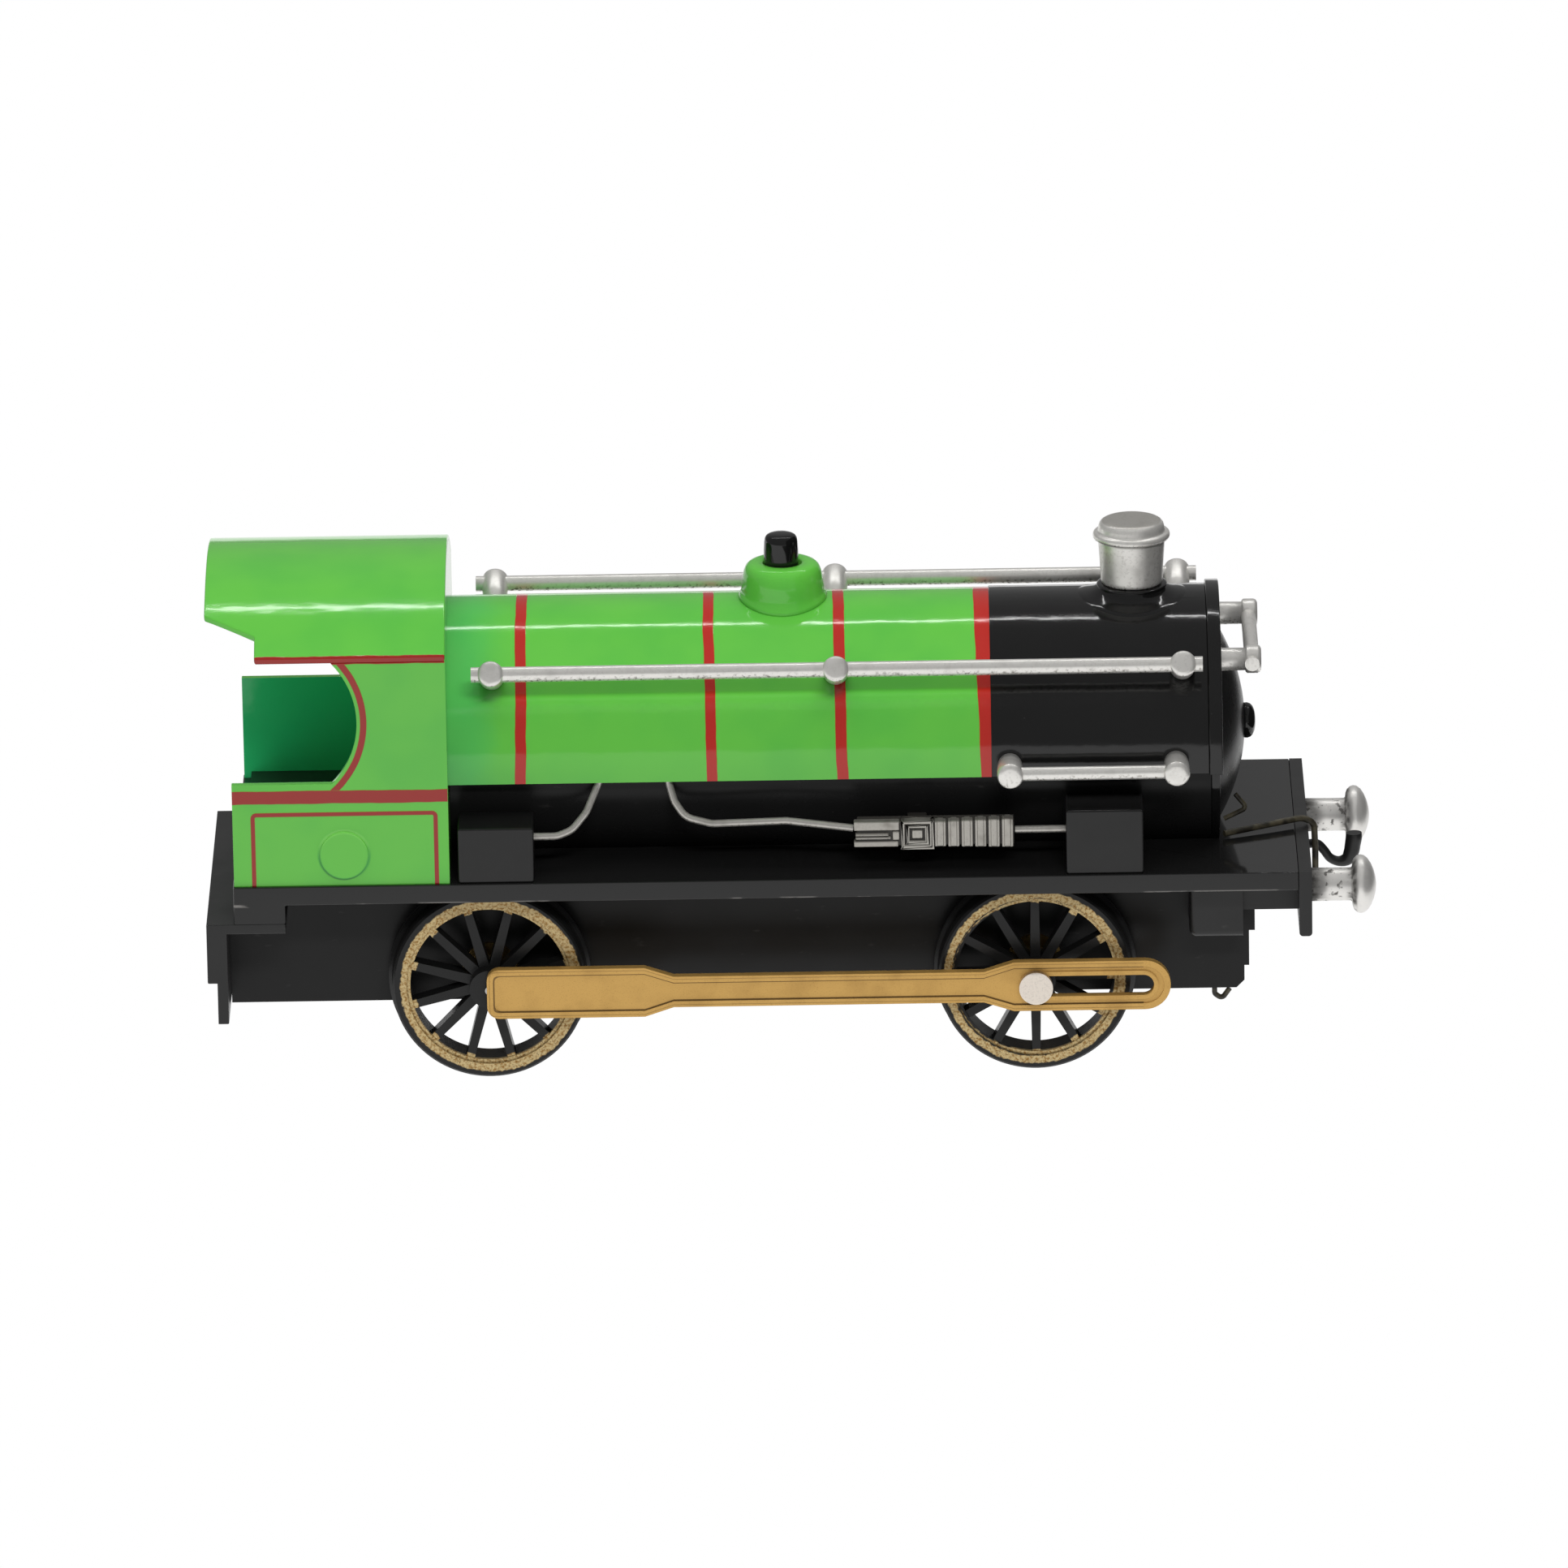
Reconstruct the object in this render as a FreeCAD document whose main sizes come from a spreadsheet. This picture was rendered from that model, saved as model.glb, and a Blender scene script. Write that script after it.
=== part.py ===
"""Toy live steam locomotive: four wheels, slotted side rods, one cylinder between the frames.

Frame: +X towards the chimney, -Y is the locomotive's right-hand side, +Z up. The origin is below the
middle of the whole length, at the height of the wheel flanges' lowest points. Millimetres.
"""
import FreeCAD, Part
import Sketcher
import math
import os
import re

from FreeCAD import Placement, Rotation, Vector

doc = FreeCAD.newDocument("steam_engine")

# --- Driving dimensions -------------------------------------------------------------------------

DIMENSIONS = {
    # whole engine
    "half_long": 109.0, "half_wide": 33.3, "deck_top": 41.1, "deck_thick": 2.0,
    "valance_low": 37.5, "valance_thick": 1.6, "deck_rear": -103.8, "deck_front": 94.3,
    # rear drag beam and its shelf
    "shelf_top": 33.9, "shelf_thick": 1.9, "shelf_front": -94.2, "drag_thick": 3.8,
    "drag_step": 22.3, "drag_low": 14.3, "drag_lip_rear": -107.2, "drag_lip_front": -105.2,
    "drawbar_radius": 2.0, "drawbar_z": 27.2,
    # front buffer beam, buffers, coupling
    "beam_thick": 2.4, "beam_low": 28.5, "brace_low": 30.9, "brace_y": 24.5, "brace_thick": 2.0,
    "buffer_y": 20.25, "buffer_z": 34.2, "shank_radius": 3.25, "buffer_radius": 5.5,
    "shank_front": 104.3, "buffer_crown": 3.4,
    "hook_radius": 0.9, "hook_head": 1.6,
    # side frames
    "frame_out": 16.6, "frame_thick": 2.6, "frame_low": 12.8, "frame_front": 84.4,
    "frame_rear": -105.2, "stretcher": 3.2,
    "sand_rear": 74.0, "sand_front": 84.0, "sand_low": 25.9, "sand_out": 26.0,
    # wheels
    "axle_z": 18.9, "rear_axle_x": -56.7, "front_axle_x": 45.2, "axle_radius": 2.5,
    "axle_end": 29.7, "axle_step": 28.0, "axle_tip": 0.8, "wheel_back": 20.0, "wheel_face": 26.6,
    "tread_radius": 18.1,
    "flange_thick": 1.3, "tyre_bore": 15.5, "rim_thick": 0.7, "spoke_wide": 1.7, "spoke_count": 12,
    "hub_radius": 3.7, "hub_face": 29.0, "running_gap": 0.05, "bush_radius": 4.2,
    # outside cranks and side rods
    "crank_throw": 10.1, "crank_radius": 2.0, "crank_boss": 3.9, "crank_end": 31.2,
    "rod_back": 30.1, "rod_face": 31.9, "rod_half_wide": 4.8, "rod_half_thin": 3.0,
    "rod_rear": -57.1, "rod_corner": 2.3, "rod_wide_end": -27.7, "rod_thin_start": -22.3,
    "rod_thin_end": 35.5, "rod_front_wide": 41.1, "rod_front": 65.5, "rod_rim": 1.2, "rod_recess": 0.35,
    "slot_half": 2.0, "slot_front": 65.2,
    "pin_head": 3.15, "pin_face": 33.2,
    # inside cylinder and its drive
    "inside_throw": 6.0, "inside_pin": 2.0, "inside_rod": 28.0, "inside_rod_y": 2.8,
    "inside_rod_thick": 1.4, "crank_web": 1.6, "crank_gap_low": 2.0, "crank_gap_high": 5.0,
    "block_rear": -2.0, "block_front": 18.0, "block_half": 7.0, "bore_radius": 4.5,
    "piston_long": 4.0, "piston_rod_radius": 1.2, "cover_thick": 2.0, "crosshead_long": 5.0,
    "chest_out": 12.0, "valve_y": -9.4, "eccentric_throw": 2.0, "eccentric_radius": 6.0,
    "eccentric_y": -12.4, "eccentric_thick": 1.8, "valve_rod_radius": 0.9,
    # boiler
    "boiler_z": 60.0, "clad_radius": 25.7, "clad_thick": 1.2, "clad_low": 58.1,
    "clad_rear": -63.5, "clad_front": 37.5, "smokebox_front": 78.0, "smokebox_radius": 25.9,
    "ring_radius": 26.6, "ring_front": 80.5, "ring_bore": 22.9, "casing_radius": 22.9,
    "casing_thick": 1.2, "front_plate": 78.4, "front_plate_thick": 1.7,
    "barrel_radius": 17.0, "barrel_thick": 0.8, "barrel_rear": -48.0, "barrel_front": 30.0,
    "door_radius": 18.3, "door_rise": 5.1, "knob_radius": 3.75, "knob_front": 87.2,
    # dome, plug, chimney
    "dome_x": -0.9, "dome_top": 92.6, "dome_bore": 5.2, "plug_hole": 3.6,
    "plug_radius": 3.3, "plug_tip": 3.0, "plug_top": 98.1, "plug_low": 84.0,
    "chimney_x": 64.3, "chimney_low": 87.6, "chimney_high": 96.3, "flue": 4.2,
    "chimney_foot": 5.8, "chimney_head": 6.4, "cap_lip": 7.2, "cap_flat": 5.6, "cap_top": 99.8,
    # cab
    "cab_half": 32.5, "cab_thick": 1.4, "cab_rear": -103.6, "cab_waist": 61.0, "cab_eave": 84.9,
    "opening_radius": 17.1, "opening_x": -97.2, "opening_z": 72.9, "roof_radius": 55.85,
    "roof_top": 96.1, "roof_thick": 1.0, "roof_rear": -108.2, "roof_clip_y": 23.1,
    "roof_clip_x": -98.8, "roof_corner_y": 28.0, "boss_x": -83.0, "boss_z": 47.1, "boss_radius": 4.5,
    "boss_proud": 0.7, "floor_thick": 1.3,
    # handrails
    "rail_y": 27.5, "rail_z": 80.2, "rail_radius": 1.45, "post_radius": 2.35,
    "post_lean": 22, "post_root": 12.0, "post_end": 2.0,
    "rail_stub": 3.65, "post_rear": -55.2, "post_mid": 8.8, "post_front": 73.2,
    "low_rail_y": 31.3, "low_rail_z": 60.5, "low_rail_radius": 1.3, "low_post_rear": 40.9,
    "low_post_front": 71.8, "low_post_face": 33.2,
    "front_rail_x": 86.3, "front_rail_y": 13.9, "front_rail_z": 76.6, "front_rail_radius": 1.4,
    "front_post_face": 88.0,
    # boxes, injectors, pipes
    "box_out": 32.7, "rear_box_x": -61.9, "rear_box_long": 14.1, "rear_box_top": 51.8,
    "front_box_x": 51.1, "front_box_long": 14.4, "front_box_top": 53.6, "box_in": 22.4,
    "injector_y": 27.5, "injector_z": 48.4, "injector_rear": 11.7, "injector_front": 41.7,
    "pipe_radius": 0.7,
    # burner
    "tray_rear": -45.0, "tray_front": -12.0, "tray_half": 10.0, "tray_low": 29.0, "tray_top": 37.0,
    "wick_radius": 2.4, "wick_top": 40.6,
}

sheet = doc.addObject("Spreadsheet::Sheet", "dims")
for row, (alias, value) in enumerate(DIMENSIONS.items(), start=1):
    sheet.set(f"A{row}", alias)
    sheet.set(f"B{row}", str(value))
    sheet.setAlias(f"B{row}", alias)
doc.recompute()

ALONG_X = Rotation(Vector(0, 1, 0), 90)
ALONG_Y = Rotation(Vector(1, 0, 0), -90)
ALONG_Z = Rotation()
AXLE_PLACES = ("rear_axle_x", "front_axle_x")
SCREW_PLACES = ("-88", "55")
WICK_PLACES = ("-38", "-28.5", "-19")
nodes = {}


# --- Building blocks ----------------------------------------------------------------------------

def bound(text):
    """Turn a formula of dimension names into an expression on the spreadsheet."""
    def link(match):
        word = match.group(0)
        return f"dims.{word}" if word in DIMENSIONS else word
    return re.sub(r"[A-Za-z_]+", link, str(text))


def size(alias):
    """The value of one dimension."""
    return float(sheet.get(alias))


def place(thing, at, turn):
    """Put an object at three formulas, turned by a fixed rotation."""
    thing.Placement = Placement(Vector(), turn)
    for axis, formula in zip("xyz", at):
        thing.setExpression(f"Placement.Base.{axis}", bound(formula))


def solid(kind, at, turn=ALONG_Z, **sizes):
    """A Part primitive whose sizes and place follow the sheet."""
    thing = doc.addObject(f"Part::{kind}", kind.lower())
    for name, formula in sizes.items():
        thing.setExpression(name, bound(formula))
    place(thing, at, turn)
    return thing


def block(low, high):
    """A box between two corners given as formulas."""
    sizes = [f"({top}) - ({bottom})" for bottom, top in zip(low, high)]
    return solid("Box", low, Length=sizes[0], Width=sizes[1], Height=sizes[2])


def rod_x(radius, start, end, y, z):
    """A round bar along X."""
    return solid("Cylinder", (start, y, z), ALONG_X, Radius=radius, Height=f"({end}) - ({start})")


def rod_y(radius, start, end, x, z):
    """A round bar along Y."""
    return solid("Cylinder", (x, start, z), ALONG_Y, Radius=radius, Height=f"({end}) - ({start})")


def rod_z(radius, start, end, x, y):
    """A round bar along Z."""
    return solid("Cylinder", (x, y, start), Radius=radius, Height=f"({end}) - ({start})")


def joined(*pieces):
    """One solid made of overlapping pieces."""
    if len(pieces) == 1:
        return pieces[0]
    thing = doc.addObject("Part::MultiFuse", "joined")
    thing.Shapes = list(pieces)
    thing.Refine = True
    return thing


def without(base, *tools):
    """The base with the tools taken away."""
    thing = doc.addObject("Part::Cut", "without")
    thing.Base = base
    thing.Tool = joined(*tools)
    return thing


def shared(first, second):
    """What two pieces have in common."""
    thing = doc.addObject("Part::Common", "shared")
    thing.Base = first
    thing.Tool = second
    return thing


def group(*pieces):
    """Separate solids that share one node."""
    thing = doc.addObject("Part::Compound", "group")
    thing.Links = list(pieces)
    return thing


def mirrored(piece):
    """The same piece on the other side of the engine."""
    thing = doc.addObject("Part::Mirroring", "mirrored")
    thing.Source = piece
    thing.Normal = Vector(0, 1, 0)
    return thing


def node(name, thing):
    """Name a finished sub-part."""
    thing.Label = name
    nodes[name] = thing
    return thing


def sketch_on(body, role, corners):
    """A closed outline of straight edges on one of the body's own planes, each corner on the sheet."""
    plane = next(f for f in body.Origin.OriginFeatures if f.Role == role)
    sketch = body.newObject("Sketcher::SketchObject", "outline")
    sketch.AttachmentSupport = (plane, [""])
    sketch.MapMode = "FlatFace"
    doc.recompute()
    values = [[sheet_value(formula) for formula in corner] for corner in corners]
    count = len(corners)
    for index in range(count):
        start, end = values[index], values[(index + 1) % count]
        sketch.addGeometry(Part.LineSegment(Vector(*start, 0), Vector(*end, 0)), False)
    for index in range(count):
        sketch.addConstraint(Sketcher.Constraint("Coincident", index, 2, (index + 1) % count, 1))
    for index, corner in enumerate(corners):
        for kind, value, formula in zip(("DistanceX", "DistanceY"), values[index], corner):
            number = sketch.addConstraint(Sketcher.Constraint(kind, -1, 1, index, 1, value))
            sketch.setExpression(f"Constraints[{number}]", bound(formula))
    return sketch


def sheet_value(formula):
    """The number that a formula gives, worked out by the document."""
    return float(sheet.evalExpression(bound(formula)))


def turned(corners, at, turn=ALONG_Z):
    """A Body turned round its own Z axis from an outline of (radius, height) corners."""
    body = doc.addObject("PartDesign::Body", "turned")
    sketch = sketch_on(body, "XZ_Plane", corners)
    feature = body.newObject("PartDesign::Revolution", "revolution")
    feature.Profile = sketch
    feature.ReferenceAxis = (sketch, ["V_Axis"])
    feature.Angle = 360
    place(body, at, turn)
    return body


def plate(corners, low, high, role="XZ_Plane"):
    """A Body padded from an outline: in the XZ plane from y low to y high, or in XY between heights."""
    body = doc.addObject("PartDesign::Body", "plate")
    sketch = sketch_on(body, role, corners)
    feature = body.newObject("PartDesign::Pad", "pad")
    feature.Profile = sketch
    feature.setExpression("Length", bound(f"({high}) - ({low})"))
    if role == "XZ_Plane":
        feature.Reversed = True
        place(body, ("0", low, "0"), ALONG_Z)
    else:
        place(body, ("0", "0", low), ALONG_Z)
    return body


def bent_bar(points, radius, bend):
    """A round wire or pipe through points, straight between them, with tangent arcs at the corners."""
    spots = [Vector(*point) for point in points]
    edges = []
    start = spots[0]
    for before, corner, after in zip(spots, spots[1:], spots[2:]):
        back = (before - corner).normalize()
        ahead = (after - corner).normalize()
        half_turn = (math.pi - back.getAngle(ahead)) / 2
        reach = min(bend * math.tan(half_turn), 0.45 * (before - corner).Length,
                    0.45 * (after - corner).Length)
        first = corner + back * reach
        last = corner + ahead * reach
        radius_here = reach / math.tan(half_turn)
        bisector = (back + ahead).normalize()
        centre = corner + bisector * math.hypot(reach, radius_here)
        middle = centre - bisector * radius_here
        edges.append(Part.LineSegment(start, first).toShape())
        edges.append(Part.Arc(first, middle, last).toShape())
        start = last
    edges.append(Part.LineSegment(start, spots[-1]).toShape())
    path = Part.Wire(edges)
    section = Part.Wire(Part.Circle(spots[0], spots[1] - spots[0], radius).toShape())
    bar = path.makePipeShell([section], True, False)
    thing = doc.addObject("Part::Feature", "bent_bar")
    thing.Shape = bar
    thing.Placement = Placement()
    expected = math.pi * radius ** 2 * path.Length
    if abs(bar.Volume - expected) > 0.02 * expected:
        raise RuntimeError(f"bent bar volume {bar.Volume:.2f}, expected {expected:.2f}")
    return thing


# --- Chassis ------------------------------------------------------------------------------------

def footplate():
    """Deck plate with a valance down each side and across the back, open for fire and steam pipes."""
    under = "deck_top - deck_thick"
    deck = block(("deck_rear", "-half_wide", under), ("deck_front", "half_wide", "deck_top"))
    sides = []
    for inner, outer in (("-half_wide", "-half_wide + valance_thick"),
                         ("half_wide - valance_thick", "half_wide")):
        sides.append(block(("deck_rear", inner, "valance_low"), ("deck_front", outer, "deck_top")))
        sides.append(block(("deck_rear", inner, "shelf_top"), ("shelf_front", outer, "deck_top")))
    back = block(("deck_rear", "-half_wide", "shelf_top"),
                 ("deck_rear + valance_thick", "half_wide", "deck_top"))
    fire_hole = block(("tray_rear", "-tray_half", "valance_low"),
                      ("tray_front", "tray_half", "deck_top + 1"))
    pipe_hole = rod_z("2.2", "valance_low", "deck_top + 1", "38", "0")
    blast_hole = rod_z("2.2", "valance_low", "deck_top + 1", "chimney_x", "0")
    screw_holes = [rod_z("1.35", "valance_low", "deck_top + 1", x, "0") for x in SCREW_PLACES]
    return without(joined(deck, back, *sides), fire_hole, pipe_hole, blast_hole, *screw_holes)


def body_screws():
    """Two screws that hold the cab floor and the smokebox saddle down on the deck."""
    screws = []
    for x, top in zip(SCREW_PLACES, ("deck_top + floor_thick", "deck_top + 6")):
        shank = rod_z("1.25", "deck_top - deck_thick - 0.5", top, x, "0")
        head = rod_z("2.4", "deck_top - deck_thick - 1.6", "deck_top - deck_thick", x, "0")
        screws.append(joined(shank, head))
    return group(*screws)


def front_buffer_beam():
    """Cross beam at the front with a gusset plate behind it on each side."""
    beam = block(("deck_front", "-half_wide", "beam_low"),
                 ("deck_front + beam_thick", "half_wide", "deck_top"))
    rounded = doc.addObject("Part::Fillet", "rounded")
    rounded.Base = beam
    doc.recompute()
    low = size("beam_low")
    lowest = [number for number, edge in enumerate(beam.Shape.Edges, start=1)
              if edge.BoundBox.YLength > 1 and edge.BoundBox.ZMax < low + 0.01]
    rounded.Edges = [(number, 0.7, 0.7) for number in lowest]
    braces = []
    for inner, outer in (("-brace_y", "brace_thick - brace_y"), ("brace_y - brace_thick", "brace_y")):
        braces.append(block(("sand_front", inner, "brace_low"),
                            ("deck_front", outer, "deck_top - deck_thick")))
    return joined(rounded, *braces)


def rear_drag_beam():
    """Low shelf behind the deck with a plate and a thinner lip under it and a drawbar pin hole."""
    under = "shelf_top - shelf_thick"
    shelf = block(("-half_long", "-half_wide", under), ("shelf_front", "half_wide", "shelf_top"))
    beam = block(("-half_long", "-half_wide", "drag_step"),
                 ("drag_thick - half_long", "half_wide", under))
    lip = block(("drag_lip_rear", "-half_wide", "drag_low"),
                ("drag_lip_front", "half_wide", "drag_step"))
    drawbar = rod_x("drawbar_radius", "-half_long - 1", "drag_thick - half_long + 1",
                    "0", "drawbar_z")
    return without(joined(shelf, beam, lip), drawbar)


def side_frame():
    """Right-hand frame plate with bush holes and a stepped front end."""
    top = "deck_top - deck_thick"
    under = "shelf_top - shelf_thick"
    outline = [("frame_rear", "frame_low"), ("frame_front - 1.5", "frame_low"),
               ("frame_front", "frame_low + 1.5"), ("frame_front", "17.2"),
               ("frame_front + 0.9", "17.2"), ("frame_front + 0.9", "24.1"),
               ("frame_front + 2", "24.1"), ("frame_front + 2", top),
               ("deck_rear + valance_thick", top), ("deck_rear + valance_thick", under),
               ("frame_rear", under)]
    frame = plate(outline, "-frame_out", "frame_thick - frame_out")
    notch = block(("-half_long", "-half_wide", under), ("shelf_front", "0", "shelf_top"))
    holes = [rod_y("bush_radius", "-frame_out - 1", "0", x, "axle_z") for x in AXLE_PLACES]
    return without(frame, notch, *holes)


def frame_stretchers():
    """Cross members between the two frames: behind, ahead of the cylinder and at the front."""
    inner = "frame_out - frame_thick"
    top = "deck_top - deck_thick"
    rear = block(("-98", f"-({inner})", "frame_low"), ("stretcher - 98", inner, "30"))
    middle = block(("block_front + cover_thick", f"-({inner})", "frame_low"),
                   ("block_front + cover_thick + stretcher", inner, "26"))
    front = block(("frame_front - stretcher - 2", f"-({inner})", "frame_low"),
                  ("frame_front - 2", inner, top))
    return group(rear, middle, front)


def axle_bushes():
    """Four flanged bushes, pressed into the frames."""
    bushes = []
    for x in AXLE_PLACES:
        sleeve = rod_y("bush_radius", "-frame_out", "frame_thick - frame_out", x, "axle_z")
        flange = rod_y("bush_radius + 1", "-frame_out - 0.8", "-frame_out", x, "axle_z")
        bore = rod_y("axle_radius + running_gap", "-frame_out - 2", "0", x, "axle_z")
        bush = without(joined(sleeve, flange), bore)
        bushes += [bush, mirrored(bush)]
    return group(*bushes)


def front_sandboxes():
    """A rounded box outside each frame, under the deck."""
    box = block(("sand_rear", "-sand_out", "sand_low"),
                ("sand_front", "-frame_out", "deck_top - deck_thick"))
    soft = doc.addObject("Part::Fillet", "soft")
    soft.Base = box
    doc.recompute()
    low = size("sand_low")
    out = -size("sand_out")
    numbers = [number for number, edge in enumerate(box.Shape.Edges, start=1)
               if edge.BoundBox.ZMax < low + 0.01 and edge.BoundBox.XMin < size("sand_rear") + 0.01
               or edge.BoundBox.YMax < out + 0.01 and edge.BoundBox.XMax < size("sand_rear") + 0.01]
    soft.Edges = [(number, 1.4, 1.4) for number in numbers]
    return group(soft, mirrored(soft))


def buffers():
    """Two buffers: a round shank from the beam and a domed head."""
    crown = "(buffer_radius^2 + buffer_crown^2) / (2 * buffer_crown)"
    pieces = []
    for y in ("-buffer_y", "buffer_y"):
        shank = rod_x("shank_radius", "deck_front + beam_thick", "shank_front", y, "buffer_z")
        disc = rod_x("buffer_radius", "shank_front - 0.4", "half_long", y, "buffer_z")
        dome = solid("Sphere", (f"half_long - ({crown})", y, "buffer_z"), Radius=crown)
        pieces.append(joined(shank, shared(disc, dome)))
    return group(*pieces)


def coupling_hook():
    """Bent bar hook in the middle of the front beam, with a thick upright end."""
    beam_front = size("deck_front") + size("beam_thick")
    points = [(beam_front, 0, 35.4), (98.8, 0, 35.4), (101.0, 0, 32.0), (103.6, 0, 31.5),
              (105.6, 0, 33.4), (105.8, 0, 36.6)]
    bar = bent_bar(points, size("hook_radius"), 3.0)
    head = rod_z("hook_head", "33.6", "37.8", "105.8", "0")
    return joined(bar, head)


def front_wires():
    """Thin bent wires at the front: brake pipe over the beam, clip on the smokebox, frame catch."""
    pipe = bent_bar([(80.9, -13.0, 42.0), (90.0, -8.5, 42.3), (95.6, -5.6, 42.4),
                     (97.9, -5.3, 41.4), (98.1, -5.3, 36.0), (98.1, -5.3, 30.0)], 0.6, 3.0)
    clip = bent_bar([(80.9, -14.0, 45.3), (85.2, -14.0, 47.4), (83.0, -14.0, 50.1)], 0.45, 0.8)
    low = size("frame_low")
    catch = bent_bar([(78.8, -15.3, low), (78.8, -15.3, low - 1.6), (80.2, -15.3, low - 2.6),
                      (81.6, -15.3, low - 0.6)], 0.5, 0.8)
    return group(pipe, clip, catch)


# --- Wheels -------------------------------------------------------------------------------------

def rear_axle():
    """Axle with an inside crank: two webs and a crank pin in its middle."""
    pin_x = "rear_axle_x + inside_throw"
    low, high = "crank_gap_low", "crank_gap_high"
    left = rod_y("axle_radius", high, "axle_step", "rear_axle_x", "axle_z")
    right = rod_y("axle_radius", "-axle_step", low, "rear_axle_x", "axle_z")
    tips = [rod_y("axle_tip", start, end, "rear_axle_x", "axle_z")
            for start, end in (("-axle_end", "1 - axle_step"), ("axle_step - 1", "axle_end"))]
    webs = []
    for start, end in ((f"{low} - crank_web", low), (high, f"{high} + crank_web")):
        round_ends = [rod_y("inside_pin + 1.8", start, end, x, "axle_z")
                      for x in ("rear_axle_x", pin_x)]
        middle = block(("rear_axle_x", start, "axle_z - inside_pin - 1.8"),
                       (pin_x, end, "axle_z + inside_pin + 1.8"))
        webs.append(joined(*round_ends, middle))
    pin = rod_y("inside_pin", low, high, pin_x, "axle_z")
    return joined(left, right, pin, *tips, *webs)


def front_axle():
    """Straight axle with a thin tip at each end."""
    shaft = rod_y("axle_radius", "-axle_step", "axle_step", "front_axle_x", "axle_z")
    return joined(shaft, rod_y("axle_tip", "-axle_end", "axle_end", "front_axle_x", "axle_z"))


def spoke_body(axle_x, first_angle):
    """The twelve spokes of a right-hand wheel: one padded spoke in a polar pattern."""
    body = doc.addObject("PartDesign::Body", "spokes")
    long = "tyre_bore - rim_thick + 0.3"
    corners = [("-spoke_wide * 0.6", "0"), ("spoke_wide * 0.6", "0"),
               ("spoke_wide * 0.45", long), ("-spoke_wide * 0.45", long)]
    sketch = sketch_on(body, "XZ_Plane", corners)
    pad = body.newObject("PartDesign::Pad", "spoke")
    pad.Profile = sketch
    pad.setExpression("Length", bound("3.4"))
    doc.recompute()
    pattern = body.newObject("PartDesign::PolarPattern", "round")
    pattern.Originals = [pad]
    pattern.Axis = (sketch, ["N_Axis"])
    pattern.Angle = 360
    pattern.Occurrences = int(size("spoke_count"))
    body.Tip = pattern
    place(body, (axle_x, "-wheel_face + 4.2", "axle_z"), Rotation(Vector(0, 1, 0), first_angle))
    return body


def wheel_centre(axle_x, first_angle, crank):
    """Right-hand wheel centre: hub, twelve spokes, thin rim and, on a driven wheel, a crank boss."""
    rim_out = rod_y("tyre_bore", "-wheel_face + 0.5", "-wheel_back", axle_x, "axle_z")
    rim_in = rod_y("tyre_bore - rim_thick", "-wheel_face - 1", "1 - wheel_back", axle_x, "axle_z")
    rim = without(rim_out, rim_in)
    hub = rod_y("hub_radius", "-hub_face", "-wheel_back", axle_x, "axle_z")
    spokes = spoke_body(axle_x, first_angle)
    pieces = [rim, hub, spokes]
    bores = [rod_y("axle_radius", "-axle_step", "0", axle_x, "axle_z"),
             rod_y("axle_tip", "-axle_end - 1", "0", axle_x, "axle_z")]
    if crank:
        pin_x = f"{axle_x} + crank_throw"
        pieces.append(rod_y("crank_boss", "-hub_face", "-wheel_face + 4", pin_x, "axle_z"))
        bores.append(rod_y("crank_radius", "-hub_face - 1", "1.5 - wheel_face", pin_x, "axle_z"))
    return without(joined(*pieces), *bores)


def tyre(axle_x):
    """Right-hand tyre: flat face, tread and a small flange at the back."""
    flange = "axle_z"
    back, face = "0", "wheel_face - wheel_back"
    corners = [("tyre_bore", back), (flange, back), (flange, "flange_thick - 0.4"),
               ("tread_radius + 0.2", "flange_thick + 0.2"), ("tread_radius", "flange_thick + 0.6"),
               ("tread_radius", f"{face} - 0.4"), ("tread_radius - 0.4", face),
               ("tyre_bore", face)]
    turn = Rotation(Vector(1, 0, 0), 90)
    return turned(corners, (axle_x, "-wheel_back", "axle_z"), turn)


def crank_pins():
    """The outside crank pins of the driven wheels, one each side."""
    pin = rod_y("crank_radius", "-crank_end", "1.5 - wheel_face",
                "rear_axle_x + crank_throw", "axle_z")
    return group(pin, mirrored(pin))


def valve_eccentric():
    """Eccentric disc keyed on the rear axle."""
    disc = rod_y("eccentric_radius", "eccentric_y", "eccentric_y + eccentric_thick",
                 "rear_axle_x + eccentric_throw", "axle_z")
    bore = rod_y("axle_radius", "-20", "0", "rear_axle_x", "axle_z")
    return without(disc, bore)


# --- Side rods ----------------------------------------------------------------------------------

def rod_outline(inset, face, back):
    """The side rod's outline, drawn in by an inset, as a slab between two Y planes."""
    wide, thin = f"rod_half_wide - {inset}", f"rod_half_thin - {inset}"
    thick = f"({back}) - ({face})"

    def bar(start, end, half):
        return block((start, face, f"axle_z - ({half})"), (end, back, f"axle_z + ({half})"))

    rear, corner = f"rod_rear + {inset}", f"rod_corner - {inset} / 2"
    level = f"({wide}) - ({corner})"
    corners = [rod_y(corner, face, back, f"{rear} + ({corner})", f"axle_z {side} ({level})")
               for side in "+-"]
    return joined(
        *corners,
        bar(rear, f"{rear} + ({corner})", level),
        bar(f"{rear} + ({corner})", "rod_wide_end", wide),
        taper_slab("rod_wide_end", "rod_thin_start", wide, thin, face, back),
        bar("rod_thin_start", "rod_thin_end", thin),
        taper_slab("rod_thin_end", "rod_front_wide", thin, wide, face, back),
        bar("rod_front_wide", "rod_front", wide),
        rod_y(wide, face, back, "rod_front", "axle_z"))


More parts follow.
